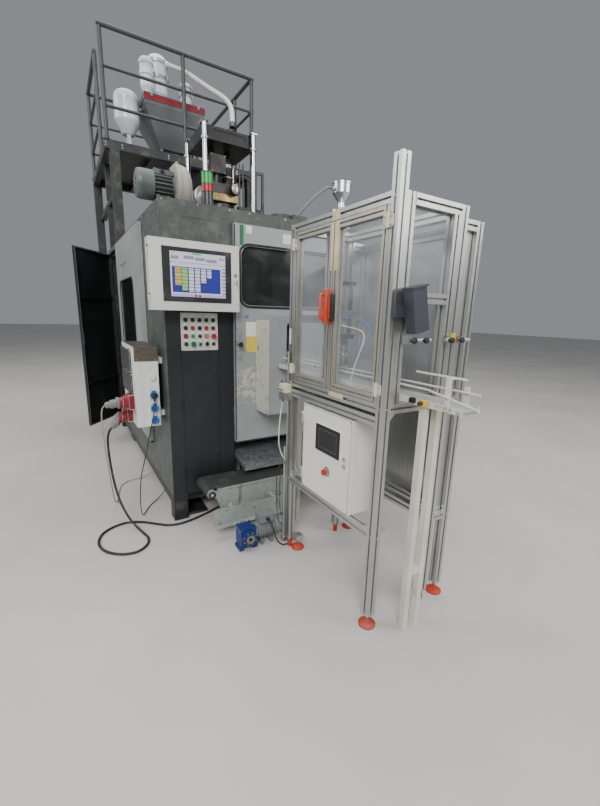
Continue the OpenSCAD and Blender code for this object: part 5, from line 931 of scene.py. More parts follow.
def makeGuard(g):
    # thin plates for the papers, beads along rounded rectangles (the inner pale one a painted highlight on the seal),
    # and turned parts of the grip
    face, (w, h, r), (x, z) = g["face"], g["window"], g["grip"]
    s = Shell()
    for x0, x1, z0, z1, tag in g["papers"]:
        s.add(block((x0 + .5, face - .6, z0 + .5), (x1 - .5, face - .1, z1 - .5), .15, 1, 2), tag)
    makePiece("guardPapers", s, [paperLabel, paint("yellowField", srgb(216, 190, 62), .55, .1, 10, .4, .2),
                                 paint("greenField", srgb(40, 104, 72), .55, .12, 10, .4, .2),
                                 paint("blueField", srgb(84, 110, 150), .55, .1, 10, .3, .1)],
              "guard_door")
    s = Shell()
    s.add(frameTube(w, h, r, 1, face - 4, g["middle"], 4.5), 0)
    # painted highlight: this thin pale bead inside the black seal stands for the light that the seal's edge catches
    s.add(frameTube(w - 14, h - 14, r - 6, 1, face - 6.5, g["middle"], 1.3), 1)
    s.add(block((-428.5, face - 2.2, 560), (-421, face - .2, 2080), .6), 0)
    s.add(boss([(0, 0), (18, 0), (18.6, 2), (18, 8), (14, 11), (0, 10)], (x, face - 48, z), 1, 28), 0)
    s.add(ringOf(band(9.4, 15, 3), (x, face - 3.2, z), 1, 24), 1)
    s.add(block((-121.5, -1383.2, 1145.5), (-118.8, -1382.1, 1447.5), .3, 1), 1)
    fasten(s, 2, g["caps"])
    makePiece("guardFittings", s, [blackSeal, alloyBar, boltSteel], "guard_door", 40)


makeGuard(guard)

# left guard: bead round its window, bow handle on two turned feet, screws
sideGuard = {
    "face": -930, "window": (-202, 564, 535, 1770), "handle": (-440, 1050, 1230),
    "caps": [(-930, (-525, 740), (470, 900, 1500, 2100), 0, 4, -1)],
}


def makeSideGuard(g):
    # a bead along a rounded rectangle, and a bow between two turned feet
    face, (y0, y1, z0, z1), (y, low, high) = g["face"], g["window"], g["handle"]
    s = Shell()
    s.add(frameTube(y1 - y0 + 4, z1 - z0 + 4, 70, 0, face - 1.5, ((y0 + y1)/2, (z0 + z1)/2), 4.5), 0)
    s.add(bowHandle((face, y, low), (face, y, high), (-34, 0, 0), 7), 0)
    for z in (low, high):
        s.add(boss([(0, 0), (14, 0), (14, 3), (10, 6), (0, 6)], (face, y, z), 0, 20), 0)
    fasten(s, 1, g["caps"])
    makePiece("sideGuardFittings", s, [blackPlastic, boltSteel], "side_guard", 40)


makeSideGuard(sideGuard)

# rear compartment door, drawn as if closed and then turned about its hinge
rearDoor = {"pivot": (-906, 1560, 0), "open": 38, "width": 650, "low": 204, "high": 2132, "thick": 25,
            "lock": 1180, "seams": (690, 1400)}


def makeRearDoor(d):
    # everything on the closed door, each shape then turned about the hinge by the open angle
    x0, y0, y1 = d["pivot"][0] + 6, d["pivot"][1] - d["width"], d["pivot"][1] - 2
    inner = x0 + d["thick"] - 2.4
    w, h, middle = y1 - y0, d["high"] - d["low"], ((y0 + y1)/2, (d["low"] + d["high"])/2)
    # pale folded edge and seal inside it, flush lock on the outer face, stiffening seams inside
    shapes = [(frameTube(w - 12, h - 12, 4, 0, inner, middle, 3), 0),
              (frameTube(w - 40, h - 40, 6, 0, inner, middle, 3), 1),
              (ringOf(band(5, 16, 1.4), (x0 - 1.3, y0 + 40, d["lock"]), 0, 24), 1)]
    shapes += [(tube([(inner, y0 + 22, z), (inner, y1 - 22, z)], 3, 8), 1) for z in d["seams"]]
    s = Shell()
    for shape, tag in shapes:
        s.add(spun(shape, -d["open"], 2, d["pivot"]), tag)
    makePiece("rearDoorFittings", s, [paint("paleEdge", srgb(186, 190, 188), .4, .06, 5, .4, .5), blackSeal],
              "rear_door", 40)


makeRearDoor(rearDoor)
print("guards and doors made")

# cabinet: louvre banks, handles, locks and screws on its sheets
cabinet = {
    "left": -900, "right": 900, "front": -1150, "rear": 1670, "bay": 940, "rearBay": 597.3,
    "levels": (230, 700, 1400, 2145), "rows": [(300, 6), (1860, 6)], "hinges": (330, 820, 1860), "locks": (470, 1100),
    "bolts": [(-884, -1150, 1916, 1, 6, -1),
              ((-884, -660, -444, -300, -20, 260, 540, 780, 884), -1150, 2166, 1, 6, -1),
              (-900, (-1130, -860, -580), (224, 1350, 2160), 0, 6, -1)],
}


def louvreBank(axis, face, start, low, width, rows, pitch=30):
    # a hood is a quarter curve from the sheet out to its lip, over a slit; the bank repeats both upwards
    a = np.linspace(0, np.pi/2, 6)
    hood = np.column_stack([20*np.cos(a), 9*np.sin(a)])
    slit = np.array([(-1.4, 0), (-.2, 0), (-.2, 8), (-1.4, 8)])
    base, turn = ((low, face), 1) if axis == 1 else ((face, low), -1)
    ups = np.arange(rows)[:, None]*np.array([[0, 0, pitch]])
    return [many(drawn(outline[:, ::turn] + base, axis, start + inset, start + width - inset), ups)
            for outline, inset in ((np.concatenate([hood, [(0, 0)]]), 0), (slit, 1))]


def makeCabinet(c):
    # the same louvres, handles and screws for each of three bays, on the right side and the rear
    s = Shell()
    for k in range(3):
        y0, x0 = c["front"] + k*c["bay"], -896 + k*c["rearBay"]
        y1, x1 = y0 + c["bay"], x0 + c["rearBay"]
        banks = [louvreBank(1, c["right"], y0 + 270, low, 400, rows) for low, rows in c["rows"]]
        for hoods, slits in [*banks, louvreBank(0, c["rear"], x0 + 130, 1780, 337, 9)]:
            s.add(hoods, 0).add(slits, 1)
        for y in (y0 + 60, y1 - 60):
            s.add(bowHandle((c["right"], y, 1050), (c["right"], y, 1190), (30, 0, 0)), 1)
        fasten(s, 2, [(c["right"], (y0 + 28, y1 - 28), c["levels"], 0, 7, 1),
                      ((x0 + 24, x1 - 24), c["rear"], c["levels"], 1, 7, 1)], hexHead)
    fasten(s, 2, c["bolts"], hexHead)
    # column door: three hinge barrels on its left, two quarter-turn locks on its right
    for z in c["hinges"]:
        s.add(turned(rod(7, 60), (-806, -1157, z), n=18), 1)
    for z in c["locks"]:
        s.add(boss([(0, 0), (12, 0), (12, 2), (9, 4), (4, 4), (4, 2.5), (0, 2.5)], (-562, -1150, z), 1, 24), 1)
    makePiece("cabinetFittings", s, [paint("louvrePaint", tone["fascia"], .46, .12, 5, .5, .3), blackPlastic,
                                     boltSteel], "machine", 40)


makeCabinet(cabinet)

# clamp and head: band clamps, brass block, box on the head, tubes to the valve, flanges of the four columns
head = {
    "x": -25, "y": 150, "block": 2525, "top": 2678, "bands": (2228, 2322, 2432), "cylinders": (-80, 80),
    "feet": [(-255, -110), (-255, 410), (205, -110), (205, 410)], "roof": 2180.4,
    "tubes": [[(60, -30, 2690), (62, -32, 2730), (100, -40, 2768), (160, -52, 2772), (214, -58, 2745),
               (222, -58, 2690), (222, -59, 2600), (222, -60, 2535)],
              [(98, -30, 2694), (100, -34, 2722), (140, -44, 2742), (190, -56, 2720), (198, -58, 2660),
               (198, -60, 2535)]],
    "foot": [(22.4, 0), (46, 0), (46, 12), (34, 16), (34, 24), (22.4, 24)],
}


def makeHead(h):
    # rings round the head and its cylinders, turned fittings, and tubes along smooth curves
    x, y, z, top = h["x"], h["y"], h["block"], h["top"]
    s = Shell()
    s.add(block((x - 121, y - 151, z + .5), (x + 121, y + 151, z + 68.5), 4), 0)
    fasten(s, 1, [((x - 90, x - 20, x + 60, x + 95), y - 151, (z + 20, z + 52), 1, 7, -1),
                  (x - 121, (y - 110, y, y + 110), (z + 20, z + 52), 0, 7, -1),
                  ((x - 131, x - 3), y - 142, (top + 92, top + 233), 1, 4, -1),
                  ((150, 260, 380), 60, (2460, 2500), 1, 6, -1)])
    for low in h["bands"]:
        s.add(ringOf(band(130.2, 132.4, 46), (x, y, low), 2, 48), 2)
        s.add(block((x - 150, y - 20, low + 4), (x - 131, y + 20, low + 42), 3, 0), 3)
        s.add(block((x - 20, y - 152, low + 6), (x + 24, y - 131, low + 40), 3, 1), 3)
        fasten(s, 1, [((x - 14, x + 18), y - 152, low + 23, 1, 5, -1)])
    for shift in h["cylinders"]:
        for low in (4, 96, 188):
            s.add(ringOf(band(55.2, 58.5, 10), (x + shift, y + 20, top + low), 2, 36), 1)
        s.add(ringOf(band(30.2, 40, 12), (x + shift, y + 20, top + 206), 2, 30), 1)
    # valve: end cover, elbow fittings and their tubes along the cylinder
    s.add(boss([(0, 0), (44, 0), (44, 8), (38, 12), (0, 12)], (x + 78, y - 212, top - 50), 1, 36), 1)
    for dx, dz in ((60, -16), (98, -12)):
        s.add(turned([(0, 0), (9, 0), (9, 16), (6, 16), (6, 30), (0, 30)], (x + dx, y - 180, top + dz), n=18), 0)
    for way in h["tubes"]:
        s.add(tube(smoothPath(way, 5), 6), 4)
    for px, py in h["feet"]:
        s.add(ringOf(h["foot"], (px, py, h["roof"]), 2, 36), 3)
        s.add(screws(circle((px, py, 2192), 40, (45, 135, 225, 315)), 2, 6, 1, capScrew), 1)
        s.add(ringOf(band(22.4, 31, 20), (px, py, 2969), 2, 30), 1)
    makePiece("headFittings", s, [brassPart, boltSteel, bareMetal("bandSteel", (.42, .40, .37), .34, (1, 1, .2), .45,
                                                                  .12), darkSteel, blackSeal],
              "machine", 40)


makeHead(head)

# mould halves: water nipples and clamping screws on each
mould = {"middle": -25, "face": -65, "levels": (1420, 1600), "screws": (1340, 1540, 1740),
         "nipple": [(0, 0), (9, 0), (9, 8), (6, 10), (6, 24), (7.5, 26), (6, 34), (0, 34)]}


def makeMould(m, side, label):
    # one nipple at two levels, on both sides of the half's middle
    name = "mould_" + label.lower()
    ends = sorted(corner[0]*1000 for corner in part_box(name))
    s = Shell()
    for z in m["levels"]:
        for dx, tag in ((-22, 0), (22, 1)):
            s.add(boss(m["nipple"], (m["middle"] + side*70 + dx, m["face"], z), 1, 18), tag)
    fasten(s, 2, [(ends[0] + 30 if side < 0 else ends[1] - 30, m["face"], m["screws"], 1, 10, -1)])
    makePiece("mouldFittings" + label, s, [bluePlastic, redPlastic, boltSteel], name, 40)


makeMould(mould, -1, "Left")
makeMould(mould, 1, "Right")
print("cabinet, head and moulds dressed")

# blower: clamp ring round the drum, grille on the cowl, gland on the terminal box
blower = {"x": -700, "y": -715, "z": 2350, "r": 160, "cowlEnd": -956, "eighths": np.arange(22.5, 360, 45)}


def makeBlower(b):
    # rings and screws round the drum's axis, and grille bars turned about it by eighths
    x, y, z, r, end = b["x"], b["y"], b["z"], b["r"], b["cowlEnd"]
    s = Shell()
    s.add(ringOf(band(r + .3, r + 4, 12), (x + 22, y, z), 0, 64), 0)
    s.add(block((x + 20, y - 24, z + r + 1), (x + 36, y + 24, z + r + 16), 2), 0)
    s.add(screws(circle((x + .5, y, z), 118, b["eighths"], 0), 0, 7, -1), 1)
    s.add(screws(circle((x + 109.8, y, z), 70, b["eighths"], 0), 0, 6), 1)
    s.add(turned([(0, 0), (30, 0), (30, 3), (24, 8), (0, 9)], (x + 109.8, y, z), 0, 36), 0)
    for inner in (8, 20, 32, 44):
        s.add(ringOf(band(inner, inner + 6, .7), (end - .6, y, z), 0, 36), 2)
    for degrees in (0, 45, 90, 135):
        s.add(spun(block((end - 1.6, y - 56, z - 1.5), (end - .2, y + 56, z + 1.5), .5), degrees, 0, (0, y, z)), 0)
    fasten(s, 1, [((-828, -716), (y - 36, y + 36), z + 101, 2, 5, 1)])
    s.add(boss(gland(13, 7, 20), (x - 80, y - 46, z + 88), 1, 20), 2)
    makePiece("blowerFittings", s, [paint("drumPaint", tone["drum"], .42, .1, 6, .5, .4), boltSteel, blackPlastic],
              "machine", 40)


makeBlower(blower)

# platform: rail flanges and collars, tread bars, leg bolts
platform = {
    "deck": 3130, "rail": 960, "x": (-915, -140, 635), "y": (875, 1371, 2315), "ladder": (85, 435),
    "treads": [(-925, -235, 945, 2260), (25, 645, 945, 2260), (-215, 0, 945, 1200)], "pitch": 60,
    "flange": [(21.3, 0), (36, 0), (36, 6), (25, 9), (25, 26), (21.3, 26)],
    "bolts": [((-886, -802, 584, 668), (848, 942), 2188, 2, 8, 1),
              ((-954, -836, 556, 674), (2236, 2386), 12, 2, 12, 1),
              ((-930, -780, -330, 120, 440, 650), 850, (3075, 3100), 1, 8, -1),
              (-940, (880, 1371, 1900, 2300), (3075, 3100), 0, 8, -1),
              (660, (880, 1371, 1900, 2300), (3075, 3100), 0, 8, 1)],
}


def makePlatform(p):
    # a turned flange and two collars on every post, and one bar repeated over the deck two ways
    (x0, x1, x2), (y0, y1, y2), z = p["x"], p["y"], p["deck"]
    posts = [(x0, y0), (x1, y0), (x2, y0), (x0, y1), (x2, y1), (x0, y2), (x2, y2), *((x, y2) for x in p["ladder"])]
    s = Shell()
    for x, y in posts:
        s.add(ringOf(p["flange"], (x, y, z + .3), 2, 30), 0)
        s.add(screws(circle((x, y, z + 6), 30, (45, 225)), 2, 6), 1)
        for share in (.31, .655):
            s.add(ringOf(band(21.3, 23.5, 44), (x, y, z + p["rail"]*share - 22), 2, 26), 0)
    # raised bars of the tread plate, two ways alternating
    for degrees, shift in ((45, 0), (-45, 30)):
        bar = moved(spun(block((-12, -3, 0), (12, 3, 1.6), 1, 2, 2.8), degrees), (0, 0, z))
        for left, right, near, far in p["treads"]:
            s.add(many(bar, grid3(np.arange(left + 15 + shift, right, p["pitch"]),
                                  np.arange(near + shift, far, p["pitch"]), 0)), 2)
    fasten(s, 1, p["bolts"], hexHead)
    makePiece("platformFittings", s, [paint("collarGrey", tone["rail"], .42, .1, 6, .3, .5), boltSteel,
                                      paint("treadGreen", shade(tone["platform"], 1.25), .45, .2, 8, .6, .8)],
              "machine", 40)


makePlatform(platform)

# hopper: screws of the side bands, clips of the lid, and on each loader two clamp bands, a foot ring and a cap
hopper = {
    "clips": (-430, 70), "bandScrews": range(1084, 1660, 90),
    "loaders": [(112.5, (-305, 1290, 3736.3), 470), (72.5, (-10, 1260, 3736.3), 280), (50, (75, 1410, 3736.3), 120)],
}


def makeHopper(p):
    # bands at two shares of each loader's height, with clips at three angles
    s = Shell()
    fasten(s, 0, [(-506, p["bandScrews"], (3686, 3724), 0, 5, -1), (146, p["bandScrews"], (3686, 3724), 0, 5, 1),
                  (-305, 1173, (3850, 3890), 1, 6, -1)], hexHead)
    for x in p["clips"]:
        s.add(block((x - 14, 1046, 3700), (x + 14, 1053.6, 3741), 2, 1), 0)
        s.add(tube(smoothPath([(x, 1046, 3708), (x, 1036, 3714), (x, 1036, 3734), (x, 1044, 3741)], 4), 2.5), 0)
    for r, (x, y, z), h in p["loaders"]:
        for low in (z + h*.50, z + h*.80):
            s.add(ringOf(band(r + .3, r + 2.5, h*.06), (x, y, low), 2, 44), 0)
            for c in circle((x, y, low), r + 5, (200, 320, 80)):
                s.add(block(c - (7, 7, 9), c + (7, 7, h*.06 + 9), 2.5), 0)
        s.add(ringOf(band(r*.6 + .3, r*.6 + 12, 5), (x, y, z + .4), 2, 40), 0)
        s.add(turned([(0, 0), (r*.3, 0), (r*.3, 10), (r*.22, 16), (0, 17)], (x, y, z + h - .5), n=28), 1)
    makePiece("hopperFittings", s, [boltSteel, greyPlastic], "machine", 40)


makeHopper(hopper)
print("roof and platform dressed")

# leak-test station: tape strips, hinge covers, grips, gussets and screws in the slots
station = {
    "face": -335, "near": -2610, "far": -1790, "mid": 1130, "low": 512, "right": 87, "bay": 202,
    "hinges": (1162, 1843), "knobs": (-255, -183, -20, 50), "valves": (-1815, -1795, -1775),
    # piece name's end, body, hinge's place in y, its side, tape's start and end
    "doors": [("Near", "test_door_near", -2564, 1, -2240.5, -2205.5),
              ("Far", "test_door_far", -1836, -1, -2195, -2178)],
    "blocks": [((-336.2, -1815, 1330), (-335.2, -1795, 1420), .3, 0, 3, 2, 4),  # label
               ((-381.5, -1831, 1042), (-336, -1759, 1091.5), 2.5, 2, 3, 2, 5),  # valve block
               ((-214, -2726, 1134), (-191, -2690, 1164), 3, 2, 4, 2, 6),  # sensors, two yellow and one black
               ((10, -2656, 1395), (34, -2641, 1437), 3, 2, 4, 2, 6),
               ((-212, -2660, 1138), (-191, -2634, 1162), 3, 2, 4, 2, 3)],
    "tapes": [((-335.8, -2240, 1936), (-335.2, -2179, 1978), .2, 0, 2, 2, 0),
              ((-335.8, -2330, 1100), (-335.2, -2210, 1122), .2, 0, 2, 2, 0)],
    "grips": {"Far": [((-368, -2198, 1457), (-335.3, -2164, 1628), 5, 0, 9, 3, 3)],
              "Near": [((-357, -2236, 1477), (-335.3, -2204, 1603), 4, 0, 7, 3, 4),
                       ((-358, -2216, 1482), (-356.5, -2206, 1598), .5, 0, 3, 2, 3)]},
    "knob": [(0, 0), (5, 0), (5, 10), (12, 12), (13, 24), (9, 28), (0, 28)],
    "lever": [(0, 0), (11, 0), (11, 10), (8, 12), (8, 60), (12, 62), (12, 74), (0, 74)],
    "valve": [(0, 0), (8, 0), (8, 5), (6.5, 7), (6.5, 14), (4.4, 14), (0, 14)],
    "lens": [(0, 0), (9, 0), (9, 14), (7, 16), (0, 16)],
}


def gusset(at, axis, sy, sz, leg=36, width=30):
    # a cast triangle with blunt tips, drawn across the bar it stands on
    tri = np.array([(0, 0), (sy*leg, 0), (sy*leg, sz*4), (sy*4, sz*leg), (0, sz*leg)])
    flat, corner = (tri, (at[1], at[2])) if axis == 0 else (tri[:, ::-1], (at[2], at[0]))
    return drawn(flat + corner, axis, at[axis], at[axis] + width)


def hingeLeaf(s, face, y, side, z, gap, leafTag, screwTag):
    # a leaf that lies on the bar at one side of the hinge, with its four screws
    s.add(block((face - 5, y + 3*side, z + 4), (face - gap, y + 27*side, z + 52), 1.5, 0, 5), leafTag)
    fasten(s, screwTag, [(face - 5, (y + side*12, y + side*21), (z + 13, z + 43), 0, 4, -1)])


def makeStation(g):
    # what stays still: gussets in the corners, screws in the slots, and the small things on the bars
    f, near, far = g["face"], g["near"], g["far"]
    s = Shell()
    for z in (g["mid"], g["low"]):
        for x in (f + 7.5, g["right"] - 37.5, g["bay"] - 37.5):
            s.add(gusset((x, near + 45, z), 0, 1, 1), 0).add(gusset((x, far - 45, z), 0, -1, 1), 0)
    for y in (near + 7.5, far - 37.5):
        for z, up in ((g["low"], 1), (g["mid"] - 45, -1)):
            s.add(gusset((f + 45, y, z), 1, 1, up), 0).add(gusset((42, y, z), 1, -1, up), 0)
    # screws in the outer slots where rails meet posts
    fasten(s, 1, [(f, (near + 22.5, far - 22.5), (489, 1107, 1957), 0, 6, -1),
                  ((f + 22.5, 64.5, 179.5), near, (489, 1107), 1, 6, -1),
                  (g["bay"], (near + 22.5, far - 22.5), (489, 1107, 1907), 0, 6, 1)])
    # hinge leaves on the posts, on the other side of the pin than the doors' own
    for _, _, y, side, _, _ in g["doors"]:
        for z in g["hinges"]:
            hingeLeaf(s, f, y, -side, z, .3, 2, 1)
    # clamp knobs on the holder rods, lever, fittings of the valve block, lens of the yellow sensor
    for x in g["knobs"]:
        s.add(boss(g["knob"], (x, near - 48, 1408), 1, 12), 3)
    s.add(turned(g["lever"], (f - 13, -1812, 1212), n=22), 1)
    for y in g["valves"]:
        s.add(boss(g["valve"], (-381.5, y, 1064), 0, 18), 1)
    s.add(boss(g["lens"], (-214, -2708, 1149), 0, 20), 3)
    blocks(s, g["blocks"])
    makePiece("stationFittings", s, [bareMetal("gussetAlloy", (.56, .57, .57), .4, (1, 1, 1), .3, .1), boltSteel,
                                     mouldedPlastic("hingeBeige", srgb(206, 200, 180), .44), blackPlastic, paperLabel,
                                     beigeBlock, yellowPlastic], "machine", 40)
    tape = Shell()
    blocks(tape, g["tapes"])
    makePiece("railTape", tape, [paleTape], "machine")


def makeTestDoors(g):
    # what swings with each door
    f = g["face"]
    finishes = [paleTape, mouldedPlastic("hingeCream", srgb(210, 204, 186), .44), boltSteel,
                mouldedPlastic("gripOrange", srgb(188, 66, 38), .4, .2, .5), blackPlastic]
    for label, body, edge, side, y0, y1 in g["doors"]:
        s = Shell().add(block((f - .8, y0, 1711), (f - .2, y1, 1931), .2, 0, 2), 0)
        for z in g["hinges"]:
            hingeLeaf(s, f, edge, side, z, .4, 1, 2)
            s.add(turned(rod(8.6, 58), (f - 8, edge, z + 1), n=22), 1)
        blocks(s, g["grips"][label])
        if label == "Far":
            s.add(bowHandle((f - 33, -2181, 1485), (f - 33, -2181, 1600), (-20, 0, 0), 8), 3)
            fasten(s, 2, [(f - 33, -2181, (1470, 1616), 0, 5, -1)])
        makePiece("doorFittings" + label, s, finishes, body, 40)


makeStation(station)
makeTestDoors(station)

# control box: touch panel glass, locks, screws and the stop's collar
controlBox = {
    "face": -335, "panel": (-2335, -2117, 782, 932), "locks": [(-2368, 762), (-2365, 798)], "stop": (-2223, 682.3),
    "lock": [(0, 0), (12, 0), (12, 3), (9, 5), (4, 5), (4, 2.5), (0, 2.5)], "hinges": (562.5, 892.5),
    "caps": [(-335, (-2405, -1983), (522, 1000), 0, 3.6, -1)],
}


def touchFinish(p):
    # dark glass with a grey rim round the dim picture
    f = Finish("touchGlow", Metallic=0.0, Roughness=.34)
    u, v = shares(f, 1, p[1], p[0], p[2], p[3])
    colour = f.mix((u > .13)*(u < .87)*(v > .15)*(v < .85), (.008, .008, .009), srgb(78, 80, 84))
    colour = f.mix((u > .145)*(u < .855)*(v > .175)*(v < .825), colour, srgb(30, 31, 34))
    f.set("Base Color", colour)
    f.set("Emission Color", colour)
    f.shader.inputs["Emission Strength"].default_value = .12
    return f.material


def makeControlBox(b):
    # glass, seal, gap line, locks and hinge barrels of the door
    f, (y0, y1, z0, z1) = b["face"], b["panel"]
    s = Shell()
    s.add(block((f - 8.2, y0 + 3, z0 + 3), (f - 7.2, y1 - 3, z1 - 3), .3, 0, 3), 0)
    s.add(frameTube(y1 - y0 - 8, z1 - z0 - 8, 5, 0, f - 7.4, ((y0 + y1)/2, (z0 + z1)/2), 2.6), 1)
    s.add(frameTube(430, 489, 3, 0, f - .2, (-2194, 760.8), .8), 1)
    for y, z in b["locks"]:
        s.add(boss(b["lock"], (f, y, z), 0, 24), 2)
    s.add(ringOf(band(19.2, 26, 2.4), (f - 2.6, *b["stop"]), 0, 30), 2)
    fasten(s, 2, b["caps"])
    for z in b["hinges"]:
        s.add(turned(rod(7.2, 58), (-341, -1974, z), n=20), 2)
    makePiece("controlDoorFittings", s, [touchFinish(b["panel"]), blackPlastic, boltSteel],
              "control_door", 40)


makeControlBox(controlBox)
print("station dressed")

# outfeed: chain plates on the belt, each with a rounded hinge at its end, and the side plates' screws
outfeed = {
    "start": -2880, "end": -1410, "pitch": 35, "x": (-184.6, -85.4), "top": 1157, "rail": range(-2700, -1450, 180),
    "feet": (-2820, -2410, -1650),
}


def makeOutfeed(o):
    # one plate and one hinge, repeated at an even pitch
    count = int((o["end"] - o["start"])/o["pitch"])
    x0, x1 = o["x"]
    plate = block((x0, 1.2, 0), (x1, o["pitch"] - 1.4, 1.6), .5, 2, 4, 2)
    hinge = turned(rod(1.1, x1 - x0 - 16), (x0 + 8, 0, .4), 0, 8)
    steps = np.column_stack([np.zeros(count), o["start"] + np.arange(count)*o["pitch"], np.full(count, o["top"])])
    s = Shell().add(many(plate, steps), 0).add(many(hinge, steps), 1)
    fasten(s, 1, [(-190, o["rail"], 1146, 0, 4, -1), (-80, o["rail"], 1146, 0, 4, 1)])
    fasten(s, 1, [(-202, o["feet"], (1150, 1190), 0, 7, -1), (-68, o["feet"], (1150, 1190), 0, 7, 1),
                  (-198, (-2878, -1412), 1144.3, 0, 8, -1)], hexHead)
    makePiece("outfeedFittings", s, [mouldedPlastic("chainGrey", srgb(158, 160, 160), .36, .2, .35), boltSteel],
              "machine", 40)


makeOutfeed(outfeed)

# scrap conveyor: side screws, shaft nuts, gearbox and motor trim
scrap = {
    "near": -1440, "shafts": (-710, 645), "gear": (-569, -1750, 87), "motor": (-515.8, -1678, 95), "motorR": 60,
    "nut": [(0, 0), (26, 0), (26, 5), (18, 9), (11, 9), (11, 5), (0, 5)],
    "eighths": np.arange(22.5, 360, 45), "cowl": (30, 150, 210, 270, 330),
    "bolts": [(range(-640, -230, 70), -1443, (200, 276), 1, 6, -1),
              (range(-150, 640, 110), -1440, (250, 300), 1, 6, -1),
              ((-710, 645), -1450, 290, 1, 12, -1), ((-700, -640, -520, -300, -240), -1520, 200, 1, 7, -1)],
}


def makeScrap(c):
    # rings, bosses and screws placed from the centres of the shafts, the gearbox and the motor
    s = Shell()
    fasten(s, 0, c["bolts"], hexHead)
    for x in c["shafts"]:
        s.add(boss(c["nut"], (x, c["near"] - .4, 290), 1, 30), 1)
    # worm gearbox: bronze bore, flange screws, spacer, plug and screws of its foot
    x, y, z = c["gear"]
    s.add(ringOf(band(11, 17.6, 12), (x, y - 8.4, z), 1, 36), 2)
    s.add(screws(circle((x, y + .2, z), 43, c["eighths"], 1), 1, 5, -1, capScrew), 0)
    s.add(ringOf([(18.4, 0), (31, 0), (29, 1.6), (18.4, 1.6)], (x, y - 10, z), 1, 8), 4)
    s.add(screws([(x + 38, y + 60, 158.2)], 2, 9), 0)
    fasten(s, 0, [(-622, (y + 36, y + 94), (40, 134), 0, 6, -1)])
    # motor: cowl grille, box lid screws, cable gland, screws round the flange but for the one under the box
    x, y, z = c["motor"]
    end = x + 218
    for inner in (7, 17, 27, 37):
        s.add(ringOf(band(inner, inner + 5, .8), (end + .1, y, z), 0, 32), 3)
    for degrees in (0, 45, 90, 135):
        s.add(spun(block((end + .2, y - 46, z - 1.4), (end + 1.4, y + 46, z + 1.4), .5), degrees, 0, (0, y, z)), 4)
    fasten(s, 0, [((x + 42, x + 128), (y - 33, y + 33), 205, 2, 4.4, 1)])
    s.add(boss(gland(12, 7, 19), (x + 85, y - 40, 178), 1, 20), 3)
    s.add(screws(circle((x + 145, y, z), (c["motorR"] + .2)*.99, c["cowl"], 0), 0, 3.4, 1, capScrew), 0)
    makePiece("scrapFittings", s, [boltSteel, darkSteel, brassPart, blackPlastic,
                                   castPaint("motorTrim", srgb(106, 110, 110), .44)], "machine", 40)


makeScrap(scrap)
print("conveyors dressed")

# socket box: worn steel band, blue sockets with pins, black lids, cap, red housings' lids
sockets = {
    "front": -1040, "x": -975, "blue": [752, 839, 931], "lids": (924, 1086), "plugs": [(-960, 885), (-840, 770)],
    "socket": [(19.6, 0), (26.5, 0), (27, 1.5), (27, 9), (19.6, 9)],
    "cap": [(0, 0), (22, 0), (22, 4), (18, 8), (6, 8), (6, 5), (0, 5)],
    "collar": [(15, 0), (44, 0), (46, 4), (46, 14), (15, 14)],
    "caps": [((-1070, -950), -1047.2, (1180, 1252), 1, 3.6, -1), (-1090, (-1000, -560), (730, 1250), 0, 4, -1)],
    "blocks": [((-1087, -1047.2, 1167.5), (-934.5, -1046.1, 1264), .4, 1, 2, 2, 0),
               ((-1087, -1047, 1263.2), (-934.5, -519, 1264.8), .4, 2, 2, 2, 0)],
}


def makeSockets(k):
    # one socket at three heights, one lid and one plug housing at two places each
    f, x = k["front"], k["x"]
    s = Shell()
    blocks(s, k["blocks"])
    for z in k["blue"]:
        s.add(ringOf(k["socket"], (x, f - 21, z), 1, 32), 1)
        s.add(ringOf(band(.4, 19.4, 2), (x, f - 8, z), 1, 28), 1)
        for pin in circle((x, f - 13, z), 10, (90, 210, 330), 1):
            s.add(turned(rod(2.6, 5), pin, 1, 12), 2)
        s.add(block((x - 16, f - 18, z + 27.2), (x + 16, f - 10, z + 34), 1.5), 1)
        fasten(s, 3, [((x - 23, x + 23), f - 12, (z - 23, z + 23), 1, 3.2, -1)])
    s.add(boss(k["cap"], (-979, f - 6, 1054), 1, 30), 4)
    for z in k["lids"]:
        s.add(block((-1107, -981, z - 1), (-1090.2, -569, z + 151), 5, 0, 8, 3), 2)
        s.add(block((-1110, -800, z + 8), (-1106, -750, z + 22), 1.5), 2)
        for y in (-960, -632):
            s.add(turned(rod(5, 40), (-1101, y, z + 152), 1, 14), 2)
    for y, z in k["plugs"]:
        s.add(block((-1133, y - 57, z - 52), (-1090.2, y + 57, z + 52), 6, 0, 10, 3), 5)
        s.add(ringOf(k["collar"], (-1147, y, z), 0, 36), 5)
        fasten(s, 3, [(-1133, (y - 47, y + 47), (z - 42, z + 42), 0, 4, -1)])
    fasten(s, 3, k["caps"])
    makePiece("socketFittings", s, [
        bareMetal("brownSteel", (.17, .145, .12), .44, (.05, 1, 1), .6, .15), bluePlastic, blackPlastic, boltSteel,
        whitePlastic, mouldedPlastic("socketRed", srgb(122, 26, 32), .4, .1, .3)], "machine", 40)


def makeBlackPlug(k):
    # angled plug in the upper blue socket, with the ribbed sleeve that its cord leaves by
    x, y, z = k["x"], k["front"], k["blue"][2]
    ribs = [(8 - .5*(i % 2) - .15*i, 15 + 2*i) for i in range(11)]
    s = Shell()
    s.add(boss([(0, 0), (19, 0), (19, 20), (17, 27), (11, 30), (0, 30)], (x, y - 13, z), 1, 26), 0)
    s.add(boss([(0, 0), (9.5, 0), (9.5, 14), *ribs, (0, 36)], (x, y - 30, z - 4), 2, 22), 0)
    return makePiece("blackPlug", s, [blackPlastic], "machine", 40)


makeSockets(sockets)
blackPlug = makeBlackPlug(sockets)
print("sockets dressed")

